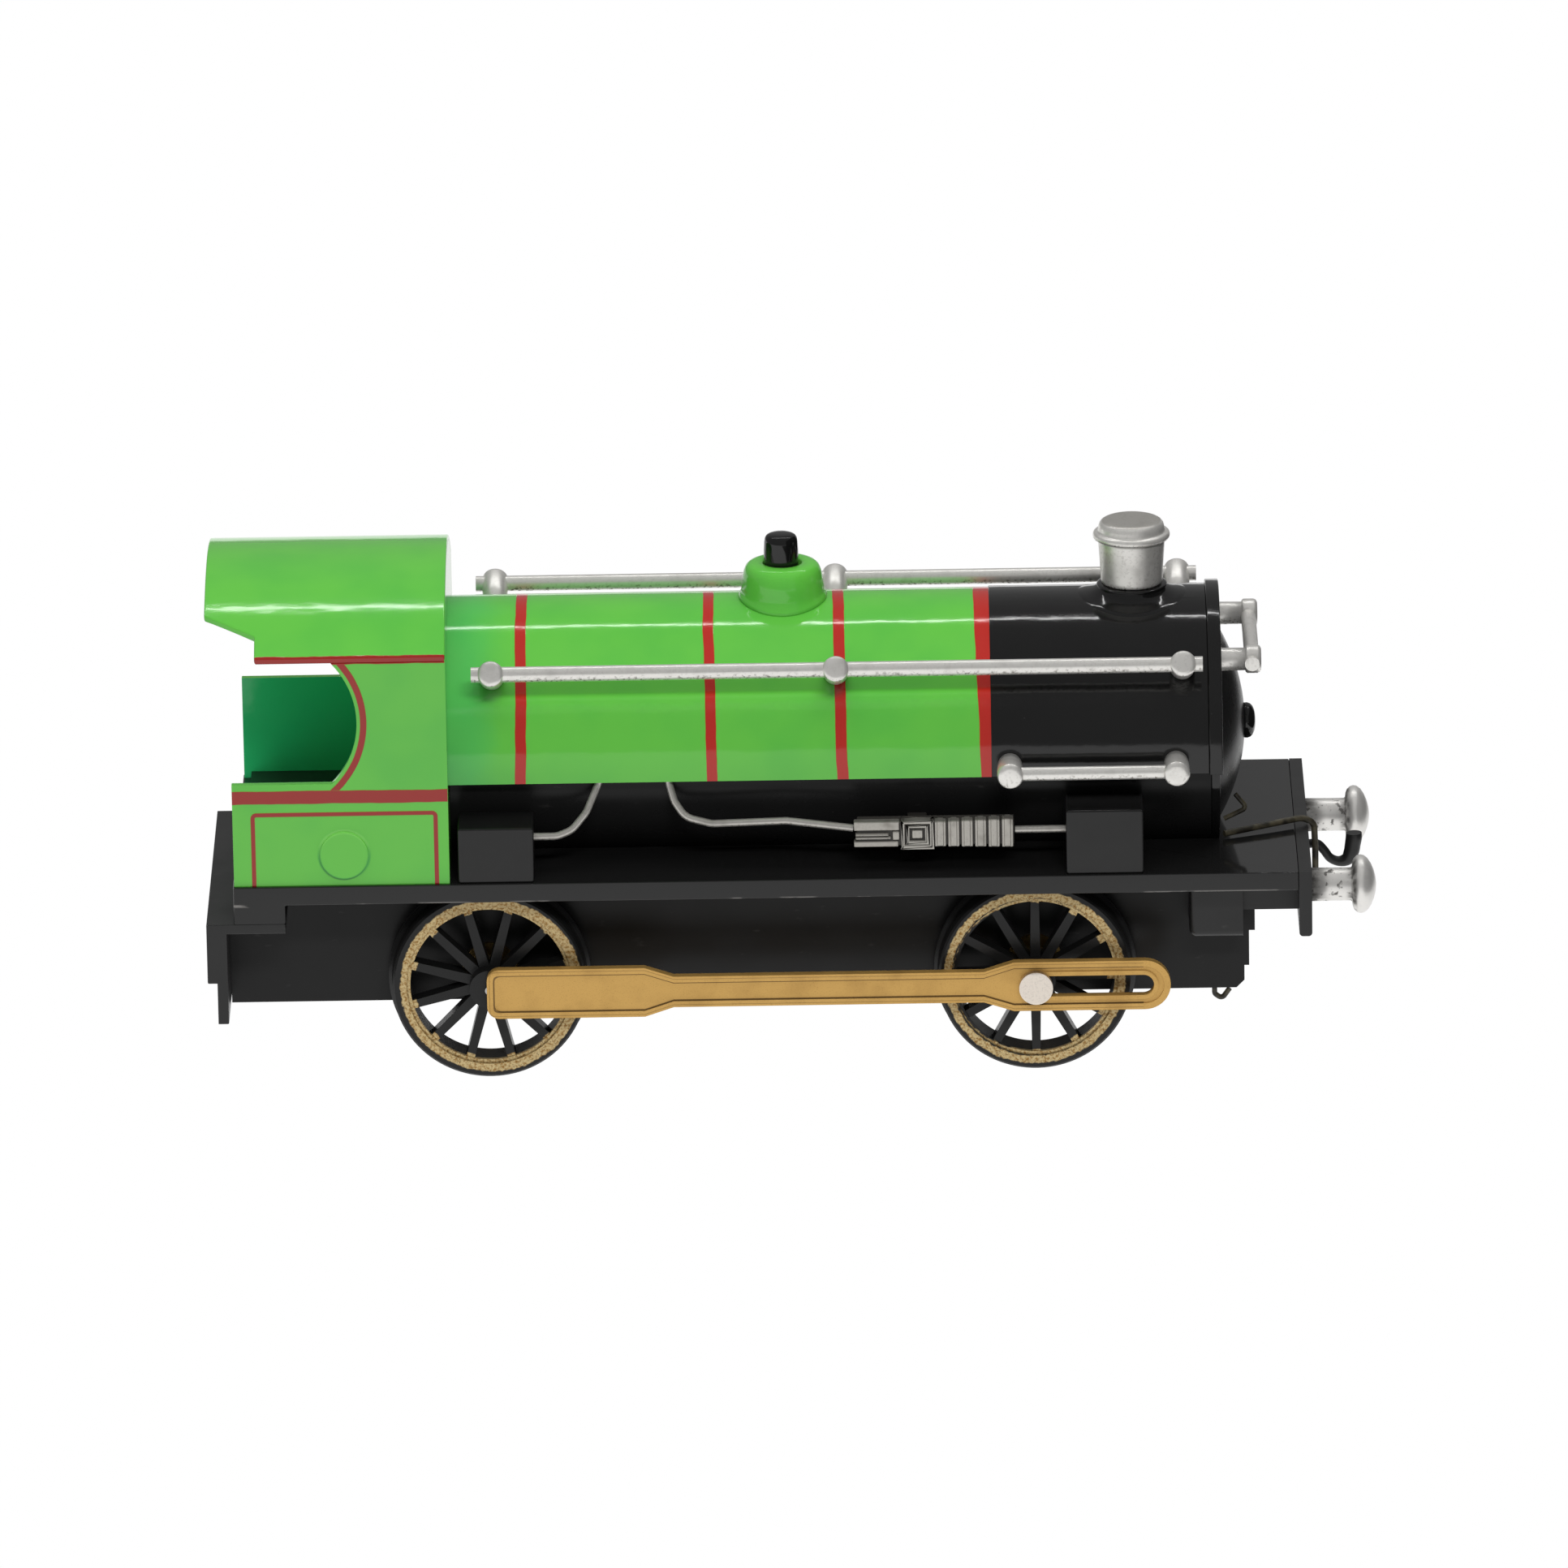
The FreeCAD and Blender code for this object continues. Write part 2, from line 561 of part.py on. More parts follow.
def taper_slab(start, end, half_start, half_end, face, back):
    """The stretch of a rod where its height changes."""
    corners = [(start, f"axle_z - ({half_start})"), (end, f"axle_z - ({half_end})"),
               (end, f"axle_z + ({half_end})"), (start, f"axle_z + ({half_start})")]
    return plate(corners, face, back)


def side_rod():
    """Right-hand side rod: raised edge round a recessed face, blind pin hole, slotted front."""
    slab = rod_outline("0", "-rod_face", "-rod_back")
    recess = rod_outline("rod_rim", "-rod_face - 1", "rod_recess - rod_face")
    pin_hole = rod_y("crank_radius + running_gap", "-crank_end - 0.1", "0",
                     "rear_axle_x + crank_throw", "axle_z")
    slot_rear = "front_axle_x"
    slot = joined(
        rod_y("slot_half", "-rod_face - 1", "0", slot_rear, "axle_z"),
        block((slot_rear, "-rod_face - 1", "axle_z - slot_half"),
              ("slot_front", "0", "axle_z + slot_half")),
        rod_y("slot_half", "-rod_face - 1", "0", "slot_front", "axle_z"))
    lip_half = "slot_half + rod_rim * 0.7"
    lip = joined(
        rod_y(lip_half, "-rod_face", "-rod_back", slot_rear, "axle_z"),
        block((slot_rear, "-rod_face", f"axle_z - ({lip_half})"),
              ("slot_front", "-rod_back", f"axle_z + ({lip_half})")),
        rod_y(lip_half, "-rod_face", "-rod_back", "slot_front", "axle_z"))
    return without(joined(without(slab, recess), lip), pin_hole, slot)


def rod_pin():
    """Headed pin in the right-hand rod's slot. Its shank fits the slot and stops inside the rod."""
    head = rod_y("pin_head", "-pin_face", "-rod_face", "front_axle_x", "axle_z")
    shank = rod_y("slot_half - running_gap", "-rod_face", "-rod_back", "front_axle_x", "axle_z")
    return joined(head, shank)


# --- Cylinder and its drive, between the frames -------------------------------------------------

def cylinder_block():
    """Cylinder and steam chest in one casting, open at both ends."""
    casting = block(("block_rear", "-chest_out", "frame_low"), ("block_front", "block_half", "25"))
    bore = rod_x("bore_radius", "block_rear - 1", "block_front + 1", "0", "axle_z")
    chest = block(("block_rear - 1", "valve_y - 1.8", "axle_z - 3.5"),
                  ("block_front - 4", "valve_y + 1.8", "axle_z + 3.5"))
    steam_port = rod_z("1.5", "22", "26", "6", "valve_y")
    return without(casting, bore, chest, steam_port)


def cylinder_covers():
    """Rear cover with the two rod glands, and front cover."""
    rear = block(("block_rear - cover_thick", "-chest_out", "frame_low"),
                 ("block_rear", "block_half", "25"))
    rod_gland = rod_x("piston_rod_radius + running_gap", "-20", "0", "0", "axle_z")
    valve_gland = rod_x("valve_rod_radius + running_gap", "-20", "0", "valve_y", "axle_z")
    front = block(("block_front", "-chest_out", "frame_low"),
                  ("block_front + cover_thick", "block_half", "25"))
    return group(without(rear, rod_gland, valve_gland), front)


def guide_bars():
    """Two bars above and below the crosshead, fixed to the rear cover."""
    bars = []
    for low, high in (("axle_z + 2.3", "axle_z + 3.5"), ("axle_z - 3.5", "axle_z - 2.3")):
        bars.append(block(("-42", "-1.8", low), ("block_rear - cover_thick", "1.8", high)))
    return group(*bars)


def piston():
    """Piston at the front end of its stroke."""
    start = "block_front - 2 - piston_long"
    return rod_x("bore_radius - running_gap", start, f"{start} + piston_long", "0", "axle_z")


def piston_rod():
    """Piston rod with the crosshead on its rear end."""
    little_end = "rear_axle_x + inside_throw + inside_rod"
    rod = rod_x("piston_rod_radius", little_end, "block_front - 2 - piston_long", "0", "axle_z")
    head = block((f"{little_end} - crosshead_long / 2", "-1.8", "axle_z - 2.2"),
                 (f"{little_end} + crosshead_long / 2", "1.8", "axle_z + 2.2"))
    return joined(rod, head)


def connecting_rod():
    """Flat rod from the inside crank pin to beside the crosshead."""
    big_end = "rear_axle_x + inside_throw"
    little_end = f"{big_end} + inside_rod"
    low, high = "inside_rod_y", "inside_rod_y + inside_rod_thick"
    bar = block((big_end, low, "axle_z - 1.3"), (little_end, high, "axle_z + 1.3"))
    ends = [rod_y("inside_pin + 1.5", low, high, big_end, "axle_z"),
            rod_y("2.3", low, high, little_end, "axle_z")]
    holes = [rod_y("inside_pin + running_gap", "0", "10", big_end, "axle_z"),
             rod_y("1.1", "0", "10", little_end, "axle_z")]
    return without(joined(bar, *ends), *holes)


def slide_valve():
    """Valve block in the steam chest on its rod, with a flat lug at the rear end."""
    valve = block(("4", "valve_y - 1.5", "axle_z - 3.2"), ("11", "valve_y + 1.5", "axle_z + 3.2"))
    rod = rod_x("valve_rod_radius", "-24", "4", "valve_y", "axle_z")
    lug = block(("-26", "valve_y - 0.8", "axle_z - 1.4"), ("-22", "valve_y + 0.8", "axle_z + 1.4"))
    return joined(valve, rod, lug)


def eccentric_rod():
    """Strap round the eccentric with a flat rod that ends beside the valve rod's lug."""
    centre = "rear_axle_x + eccentric_throw"
    low, high = "eccentric_y", "eccentric_y + eccentric_thick"
    strap = rod_y("eccentric_radius + 1.7", low, high, centre, "axle_z")
    bar = block((centre, low, "axle_z - 1.2"), ("-24", high, "axle_z + 1.2"))
    eye = rod_y("1.9", low, high, "-24", "axle_z")
    hole = rod_y("eccentric_radius + running_gap", "-20", "0", centre, "axle_z")
    pin_hole = rod_y("0.8", "-20", "0", "-24", "axle_z")
    return without(joined(strap, bar, eye), hole, pin_hole)


def steam_pipe():
    """From the boiler's front end cap down through the deck and back to the steam chest."""
    cap_front = size("barrel_front") + 1.5
    chest_y = size("valve_y")
    return bent_bar([(cap_front, 0, 70), (38, 0, 70), (38, 0, 33), (6, chest_y, 31),
                     (6, chest_y, 24)], 1.5, 4.0)


def exhaust_pipe():
    """From the cylinder forward, over the front axle, and up through the saddle to below the flue."""
    x = size("chimney_x")
    return bent_bar([(14, 4.5, 25), (14, 4.5, 30), (50, 4.5, 30), (x, 0, 34), (x, 0, 82)], 1.5, 4.0)


# --- Boiler and smokebox ------------------------------------------------------------------------

def arc_shell(radius, inner, start, end, low):
    """The part of a horizontal tube round the boiler's centre line that lies above a height."""
    tube = without(rod_x(radius, start, end, "0", "boiler_z"),
                   rod_x(inner, f"({start}) - 1", f"({end}) + 1", "0", "boiler_z"))
    below = block((f"({start}) - 2", "-half_wide", "0"), (f"({end}) + 2", "half_wide", low))
    return without(tube, below)


def boiler_cladding():
    """Green upper shell of the boiler, open along the bottom, with a hole for the filler bush."""
    shell = arc_shell("clad_radius", "clad_radius - clad_thick", "clad_rear", "clad_front",
                      "clad_low")
    return without(shell, rod_z("dome_bore", "boiler_z", "dome_top", "dome_x", "0"))


def smokebox_shell():
    """Black continuation of the cladding, with a hole under the chimney."""
    shell = arc_shell("smokebox_radius", "clad_radius - clad_thick", "clad_front",
                      "smokebox_front", "clad_low")
    return without(shell, rod_z("flue", "boiler_z", "dome_top", "chimney_x", "0"))


def smokebox_front():
    """Raised ring round the front of the smokebox and the plate inside it, down to the deck."""
    ring = arc_shell("ring_radius", "ring_bore", "smokebox_front", "ring_front", "clad_low")
    disc = rod_x("ring_bore", "front_plate", "front_plate + front_plate_thick", "0", "boiler_z")
    below = block(("front_plate - 1", "-half_wide", "0"), ("ring_front", "half_wide", "deck_top"))
    door_seat = rod_x("door_radius - 5", "front_plate - 1", "ring_front", "0", "boiler_z")
    return without(joined(ring, without(disc, below)), door_seat)


def lower_casing():
    """Black lower half of the boiler, from its centre line down to the deck."""
    tube = without(rod_x("casing_radius", "clad_rear", "front_plate", "0", "boiler_z"),
                   rod_x("casing_radius - casing_thick", "clad_rear - 1", "front_plate + 1",
                         "0", "boiler_z"))
    band = block(("clad_rear - 1", "-half_wide", "deck_top"),
                 ("front_plate + 1", "half_wide", "boiler_z + 1.5"))
    return shared(tube, band)


def smokebox_saddle():
    """Block inside the smokebox that the body screw and the exhaust pipe pass through."""
    block_shape = block(("50", "-14", "deck_top"), ("70", "14", "deck_top + 7"))
    inside = rod_x("casing_radius - casing_thick", "40", "80", "0", "boiler_z")
    pipe_hole = rod_z("1.6", "deck_top - 1", "deck_top + 10", "chimney_x", "0")
    screw_hole = rod_z("1.25", "deck_top - 1", "deck_top + 6", "55", "0")
    return without(shared(block_shape, inside), pipe_hole, screw_hole)


def smokebox_door():
    """Dished door on the front plate, with a hole for the knob's stem."""
    plate_front = "front_plate + front_plate_thick"
    curve = "(door_radius^2 + door_rise^2) / (2 * door_rise)"
    disc = rod_x("door_radius", plate_front, f"{plate_front} + door_rise", "0", "boiler_z")
    sphere = solid("Sphere", (f"{plate_front} + door_rise - ({curve})", "0", "boiler_z"), Radius=curve)
    stem_hole = rod_x("1.2", "80", "90", "0", "boiler_z")
    return without(shared(disc, sphere), stem_hole)


def door_knob():
    """Round knob and its stem in the middle of the door."""
    disc = rod_x("knob_radius", "front_plate + front_plate_thick + door_rise + 0.05", "knob_front",
                 "0", "boiler_z")
    soft = doc.addObject("Part::Fillet", "soft")
    soft.Base = disc
    doc.recompute()
    front = size("knob_front")
    soft.Edges = [(number, 1.2, 1.2) for number, edge in enumerate(disc.Shape.Edges, start=1)
                  if edge.BoundBox.XMin > front - 0.01]
    stem = rod_x("1.2", "front_plate + front_plate_thick + 1", "knob_front - 0.8",
                 "0", "boiler_z")
    return joined(soft, stem)


def boiler_barrel():
    """Brass pressure barrel inside the cladding, with a hole at the top for the bush."""
    tube = without(rod_x("barrel_radius", "barrel_rear", "barrel_front", "0", "boiler_z"),
                   rod_x("barrel_radius - barrel_thick", "barrel_rear - 1", "barrel_front + 1",
                         "0", "boiler_z"))
    return without(tube, rod_z("4.6", "boiler_z", "dome_top", "dome_x", "0"))


def boiler_end_caps():
    """Cap on each end of the barrel; the front one has the steam outlet."""
    outlet = rod_x("1.5", "barrel_front - 2", "barrel_front + 4", "0", "boiler_z + 10")
    caps = []
    for start, end in (("barrel_rear - 1.5", "barrel_rear"), ("barrel_front", "barrel_front + 1.5")):
        caps.append(rod_x("barrel_radius + 0.4", start, end, "0", "boiler_z"))
    return group(caps[0], without(caps[1], outlet))


def filler_bush():
    """Brass bush from the barrel up into the dome, with a step inside that the plug sits on."""
    tube = rod_z("4.6", "boiler_z + barrel_radius - 1.6", "dome_top - 2.2", "dome_x", "0")
    bore = rod_z("plug_hole - 1", "boiler_z", "dome_top", "dome_x", "0")
    seat = rod_z("plug_hole", "plug_low", "dome_top", "dome_x", "0")
    return without(tube, bore, seat)


def dome():
    """Green dome, seated on the cladding, hollow for the bush, with a hole for the plug."""
    corners = [("plug_hole", "80"), ("8", "80"), ("8", "85.6"), ("7.3", "86.4"), ("7.4", "88"),
               ("7.2", "89.6"), ("6.8", "91"), ("6.2", "91.9"), ("5.2", "dome_top"),
               ("plug_hole", "dome_top")]
    outside = turned(corners, ("dome_x", "0", "0"))
    boiler = rod_x("clad_radius", "dome_x - 20", "dome_x + 20", "0", "boiler_z")
    hollow = rod_z("dome_bore", "boiler_z", "dome_top - 2", "dome_x", "0")
    return without(outside, boiler, hollow)


def filler_plug():
    """Black tapered plug, loose in the dome."""
    corners = [("0", "plug_low"), ("plug_radius", "plug_low"), ("plug_radius", "dome_top + 0.6"),
               ("plug_tip", "plug_top - 0.7"), ("plug_tip - 0.7", "plug_top"), ("0", "plug_top")]
    return turned(corners, ("dome_x", "0", "0"))


def chimney_base():
    """Collar between the smokebox and the chimney."""
    corners = [("flue", "80"), ("7", "80"), ("7", "85.6"), ("6.3", "86.2"), ("5.6", "86.5"),
               ("5.6", "86.8"), ("6.1", "87"), ("6.1", "87.4"), ("5.8", "chimney_low"),
               ("flue", "chimney_low")]
    outside = turned(corners, ("chimney_x", "0", "0"))
    shell = rod_x("smokebox_radius", "chimney_x - 20", "chimney_x + 20", "0", "boiler_z")
    return without(outside, shell)


def chimney():
    """Silver chimney, a little wider at the top, open through the middle."""
    corners = [("flue", "chimney_low"), ("chimney_foot", "chimney_low"),
               ("chimney_head", "chimney_high"), ("flue", "chimney_high")]
    return turned(corners, ("chimney_x", "0", "0"))


def chimney_cap():
    """Cap with a bevelled lip and a short spigot in the flue."""
    corners = [("0", "chimney_high - 3"), ("flue - 0.3", "chimney_high - 3"),
               ("flue - 0.3", "chimney_high"), ("cap_lip - 0.5", "chimney_high"),
               ("cap_lip", "chimney_high + 0.5"), ("cap_lip", "chimney_high + 1.1"),
               ("cap_lip - 0.7", "chimney_high + 1.9"), ("cap_flat + 0.3", "cap_top - 0.4"),
               ("cap_flat", "cap_top"), ("0", "cap_top")]
    return turned(corners, ("chimney_x", "0", "0"))


# --- Cab ----------------------------------------------------------------------------------------

def cab_body():
    """Front wall and two sides with rounded openings above low side panels with round bosses."""
    inner = "cab_half - cab_thick"
    above = "cab_eave + 2"
    side = block(("cab_rear", "-cab_half", "deck_top"), ("clad_rear", f"-({inner})", "cab_eave + 1"))
    arch = shared(rod_y("opening_radius", "-half_wide - 5", "0", "opening_x", "opening_z"),
                  block(("cab_rear - 20", "-half_wide", "cab_waist"), ("clad_rear", "0", above)))
    behind = block(("cab_rear - 1", "-half_wide", "cab_waist"), ("opening_x", "0", above))
    boss = rod_y("boss_radius", "-cab_half - boss_proud", "-cab_half", "boss_x", "boss_z")
    right = joined(without(side, arch, behind), boss)
    wall = block(("clad_rear - cab_thick", "-cab_half", "deck_top"),
                 ("clad_rear", "cab_half", "roof_top"))
    under_roof = rod_x("roof_radius - roof_thick", "-120", "0", "0", "roof_top - roof_radius")
    return shared(joined(right, mirrored(right), wall), under_roof)


def cab_roof():
    """Thin curved roof that runs out behind the cab, with clipped rear corners."""
    shell = without(rod_x("roof_radius", "roof_rear", "clad_rear", "0", "roof_top - roof_radius"),
                    rod_x("roof_radius - roof_thick", "roof_rear - 1", "clad_rear + 1",
                          "0", "roof_top - roof_radius"))
    half = [("clad_rear", "-cab_half"), ("roof_clip_x", "-cab_half"),
            ("roof_clip_x", "-roof_corner_y"), ("roof_rear", "-roof_clip_y")]
    other = [(x, y[1:]) for x, y in reversed(half)]
    outline = plate(half + other, "75", "100", role="XY_Plane")
    return shared(shell, outline)


def cab_floor():
    """Black floor plate inside the cab."""
    inner = "cab_half - cab_thick"
    floor = block(("deck_rear + valance_thick", f"-({inner})", "deck_top"),
                  ("clad_rear - cab_thick", inner, "deck_top + floor_thick"))
    return without(floor, rod_z("1.25", "deck_top - 1", "deck_top + 3", SCREW_PLACES[0], "0"))


# --- Handrails ----------------------------------------------------------------------------------

def side_handrails():
    """Long upper rails and short lower rails, each side."""
    upper = rod_x("rail_radius", "post_rear - rail_stub", "post_front + rail_stub",
                  "-rail_y", "rail_z")
    lower = rod_x("low_rail_radius", "low_post_rear - 2", "low_post_front + 2",
                  "-low_rail_y", "low_rail_z")
    return group(upper, mirrored(upper), lower, mirrored(lower))


def leaning_post(x, shell_radius):
    """Right-hand post that leans up out of the boiler and holds the upper rail."""
    turn = Rotation(Vector(1, 0, 0), 90 - size("post_lean"))
    root = (x, "post_root * cos(post_lean) - rail_y", "rail_z - post_root * sin(post_lean)")
    post = solid("Cylinder", root, turn, Radius="post_radius", Height="post_root + post_end")
    boiler = rod_x(shell_radius, "-100", "100", "0", "boiler_z")
    rail = rod_x("rail_radius", "-100", "100", "-rail_y", "rail_z")
    return without(post, boiler, rail)


def level_post(x):
    """Right-hand post of a lower rail."""
    post = rod_y("post_radius", "-low_post_face", "0", x, "low_rail_z")
    boiler = rod_x("smokebox_radius", "-100", "100", "0", "boiler_z")
    rail = rod_x("low_rail_radius", "-100", "100", "-low_rail_y", "low_rail_z")
    return without(post, boiler, rail)


def handrail_posts():
    """All the round posts: six for the upper rails, four for the lower, two on the front."""
    right = [leaning_post(x, shell) for x, shell in (
        ("post_rear", "clad_radius"), ("post_mid", "clad_radius"), ("post_front", "smokebox_radius"))]
    right += [level_post(x) for x in ("low_post_rear", "low_post_front")]
    posts = right + [mirrored(post) for post in right]
    bar = rod_y("front_rail_radius", "-40", "40", "front_rail_x", "front_rail_z")
    for y in ("-front_rail_y", "front_rail_y"):
        post = rod_x("post_radius", "ring_front", "front_post_face", y, "front_rail_z")
        posts.append(without(post, bar))
    return group(*posts)


def front_handrail():
    """Cross bar through the two posts on the smokebox front."""
    return rod_y("front_rail_radius", "-front_rail_y - 3.2", "front_rail_y + 3.2",
                 "front_rail_x", "front_rail_z")


# --- Fittings on the deck -----------------------------------------------------------------------

def footplate_boxes():
    """Four boxes on the deck, two sizes."""
    pieces = []
    for x, long, top in (("rear_box_x", "rear_box_long", "rear_box_top"),
                         ("front_box_x", "front_box_long", "front_box_top")):
        box = block((x, "-box_out", "deck_top"), (f"{x} + {long}", "-box_in", top))
        casing = rod_x("casing_radius", "-90", "90", "0", "boiler_z")
        box = without(box, casing)
        pieces += [box, mirrored(box)]
    return group(*pieces)


def injectors():
    """Ribbed injector each side: nozzle, square body, barrel with ribs, and a lug to the casing."""
    y, z = "-injector_y", "injector_z"
    nozzle = rod_x("2.3", "injector_rear", "injector_rear + 10", y, z)
    body = block(("injector_rear + 8.8", "-injector_y - 2.6", "injector_z - 2.8"),
                 ("injector_rear + 14.8", "2.6 - injector_y", "injector_z + 2.8"))
    barrel = rod_x("2.3", "injector_rear + 14", "injector_front", y, z)
    ribs = []
    for index in range(6):
        start = f"injector_rear + 16.4 + {2.3 * index:.1f}"
        ribs.append(rod_x("2.75", start, f"{start} + 1.4", y, z))
    lug = block(("injector_rear + 9.8", "-injector_y", "injector_z - 1.2"),
                ("injector_rear + 13.8", "-15", "injector_z + 1.2"))
    casing = rod_x("casing_radius", "-90", "90", "0", "boiler_z")
    injector = without(joined(nozzle, body, barrel, lug, *ribs), casing)
    return group(injector, mirrored(injector))


def feed_pipes():
    """Three pipes each side: two rise under the cladding, one runs from injector to front box."""
    radius = size("pipe_radius")
    y = -size("injector_y")
    box_end = size("rear_box_x") + size("rear_box_long")
    z = size("injector_z")
    hidden = -(size("casing_radius") + 0.8)
    rear = bent_bar([(box_end, y, z), (box_end + 4.3, y, z), (-40.7, -27.0, 49.4),
                     (-38.0, -25.8, 52.4), (-35.7, -23.7, 57.3), (-34.8, hidden, 59.6)], radius, 4.0)
    middle = bent_bar([(-23.0, hidden, 59.6), (-22.6, -23.7, 57.3), (-21.6, -24.8, 54.0),
                       (-19.6, -25.9, 51.2), (-14.7, -26.6, 50.1), (-0.8, -27.0, 50.6),
                       (size("injector_rear") - 0.1, -27.4, 49.1)], radius, 4.0)
    front = rod_x("pipe_radius", "injector_front", "front_box_x", "-injector_y", "injector_z")
    return group(rear, mirrored(rear), middle, mirrored(middle), front, mirrored(front))


def burner_tray():
    """Spirit tray under the hole in the deck, hung between the frames."""
    walls = block(("tray_rear", "-tray_half", "tray_low"), ("tray_front", "tray_half", "tray_top"))
    hollow = block(("tray_rear + 0.8", "0.8 - tray_half", "tray_low + 0.8"),
                   ("tray_front - 0.8", "tray_half - 0.8", "tray_top - 0.8"))
    holes = [rod_z("wick_radius", "tray_low + 2", "tray_top + 1", x, "0") for x in WICK_PLACES]
    hangers = [block((x, "frame_thick - frame_out", "tray_top - 2"),
                     (f"{x} + 4", "frame_out - frame_thick", "tray_top - 1"))
               for x in ("tray_rear + 2", "tray_front - 6")]
    return without(joined(walls, *hangers), hollow, *holes)


def burner_wicks():
    """Three round wicks in the tray's lid."""
    return group(*[rod_z("wick_radius", "tray_low + 2", "wick_top", x, "0") for x in WICK_PLACES])


# --- Every sub-part, by name --------------------------------------------------------------------

def both_sides(piece):
    """A right-hand piece and its mirror image as one group."""
    return group(piece, mirrored(piece))


node("footplate", footplate())
node("body_screws", body_screws())
node("front_buffer_beam", front_buffer_beam())
node("rear_drag_beam", rear_drag_beam())
node("side_frames", both_sides(side_frame()))
node("frame_stretchers", frame_stretchers())
node("axle_bushes", axle_bushes())
node("front_sandboxes", front_sandboxes())
node("buffers", buffers())
node("coupling_hook", coupling_hook())
node("front_wires", front_wires())

node("rear_axle", rear_axle())
node("front_axle", front_axle())
node("rear_wheel_centres", both_sides(wheel_centre("rear_axle_x", 15, True)))
node("front_wheel_centres", both_sides(wheel_centre("front_axle_x", 0, False)))
node("rear_tyres", both_sides(tyre("rear_axle_x")))
node("front_tyres", both_sides(tyre("front_axle_x")))
node("crank_pins", crank_pins())
node("valve_eccentric", valve_eccentric())

right_rod = node("side_rod_right", side_rod())
node("side_rod_left", mirrored(right_rod))
right_pin = node("rod_pin_right", rod_pin())
node("rod_pin_left", mirrored(right_pin))

node("cylinder_block", cylinder_block())
node("cylinder_covers", cylinder_covers())
node("guide_bars", guide_bars())
node("piston", piston())
node("piston_rod", piston_rod())
node("connecting_rod", connecting_rod())
node("slide_valve", slide_valve())
node("eccentric_rod", eccentric_rod())
node("steam_pipe", steam_pipe())
node("exhaust_pipe", exhaust_pipe())

node("boiler_cladding", boiler_cladding())
node("smokebox_shell", smokebox_shell())
node("smokebox_front", smokebox_front())
node("lower_casing", lower_casing())
node("smokebox_saddle", smokebox_saddle())
node("smokebox_door", smokebox_door())
node("door_knob", door_knob())
node("boiler_barrel", boiler_barrel())
node("boiler_end_caps", boiler_end_caps())
node("filler_bush", filler_bush())

node("dome", dome())
node("filler_plug", filler_plug())
node("chimney_base", chimney_base())
node("chimney", chimney())
node("chimney_cap", chimney_cap())

node("cab_body", cab_body())
node("cab_roof", cab_roof())
node("cab_floor", cab_floor())

node("side_handrails", side_handrails())
node("handrail_posts", handrail_posts())
node("front_handrail", front_handrail())

node("footplate_boxes", footplate_boxes())
node("injectors", injectors())
node("feed_pipes", feed_pipes())
node("burner_tray", burner_tray())
node("burner_wicks", burner_wicks())


# --- Check and export ---------------------------------------------------------------------------

doc.recompute()
for thing in doc.Objects:
    if "Invalid" in thing.State or "Error" in thing.State:
        raise RuntimeError(f"{thing.Label} did not build: {thing.State}")
for name, thing in nodes.items():
    if thing.Shape.isNull() or not thing.Shape.isValid() or not thing.Shape.Solids:
        raise RuntimeError(f"{name} has no valid shape")

os.makedirs("parts", exist_ok=True)
for name, thing in nodes.items():
    thing.Shape.exportStep(f"parts/{name}.step")
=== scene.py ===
"""Looks of the small live steam engine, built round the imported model. Metres, in the model's frame.

+X points to the chimney end, -Y is the engine's right-hand side and +Z is up.
"""

import math

import bmesh
import bpy
from mathutils import Euler, Matrix, Vector


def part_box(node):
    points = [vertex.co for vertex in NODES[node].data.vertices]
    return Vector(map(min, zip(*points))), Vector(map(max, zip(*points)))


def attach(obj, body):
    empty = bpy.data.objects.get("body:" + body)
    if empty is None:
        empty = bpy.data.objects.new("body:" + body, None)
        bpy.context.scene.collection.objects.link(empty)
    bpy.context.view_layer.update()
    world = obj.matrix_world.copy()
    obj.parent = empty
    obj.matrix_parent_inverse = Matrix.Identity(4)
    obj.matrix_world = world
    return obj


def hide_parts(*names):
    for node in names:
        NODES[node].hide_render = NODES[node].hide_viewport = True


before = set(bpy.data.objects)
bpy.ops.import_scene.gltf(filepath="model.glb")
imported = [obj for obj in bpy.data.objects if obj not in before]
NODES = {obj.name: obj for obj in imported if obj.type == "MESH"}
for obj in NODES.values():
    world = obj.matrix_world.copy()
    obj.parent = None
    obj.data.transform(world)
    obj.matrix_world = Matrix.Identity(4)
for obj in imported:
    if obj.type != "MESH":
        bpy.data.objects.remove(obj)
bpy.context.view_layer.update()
MM = 0.001


# --- Places taken from the frame ----------------------------------------------------------------

def middle(node):
    """The middle of a node's box."""
    first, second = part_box(node)
    return (Vector(first) + Vector(second)) / 2


def low(node):
    """The lowest corner of a node's box."""
    return Vector(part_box(node)[0])


def high(node):
    """The highest corner of a node's box."""
    return Vector(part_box(node)[1])


# Metres, except where a line says millimetres.
BOILER_Z = middle("boiler_barrel").z
CLAD_RADIUS = high("boiler_cladding").y
SHELL_RADIUS = high("smokebox_shell").y
DECK_TOP = low("cab_body").z
VALANCE_LOW = 37.5  # millimetres
AXLE_Z = middle("rear_axle").z
REAR_AXLE_X = middle("rear_tyres").x
FRONT_AXLE_X = middle("front_tyres").x


# --- Materials ----------------------------------------------------------------------------------

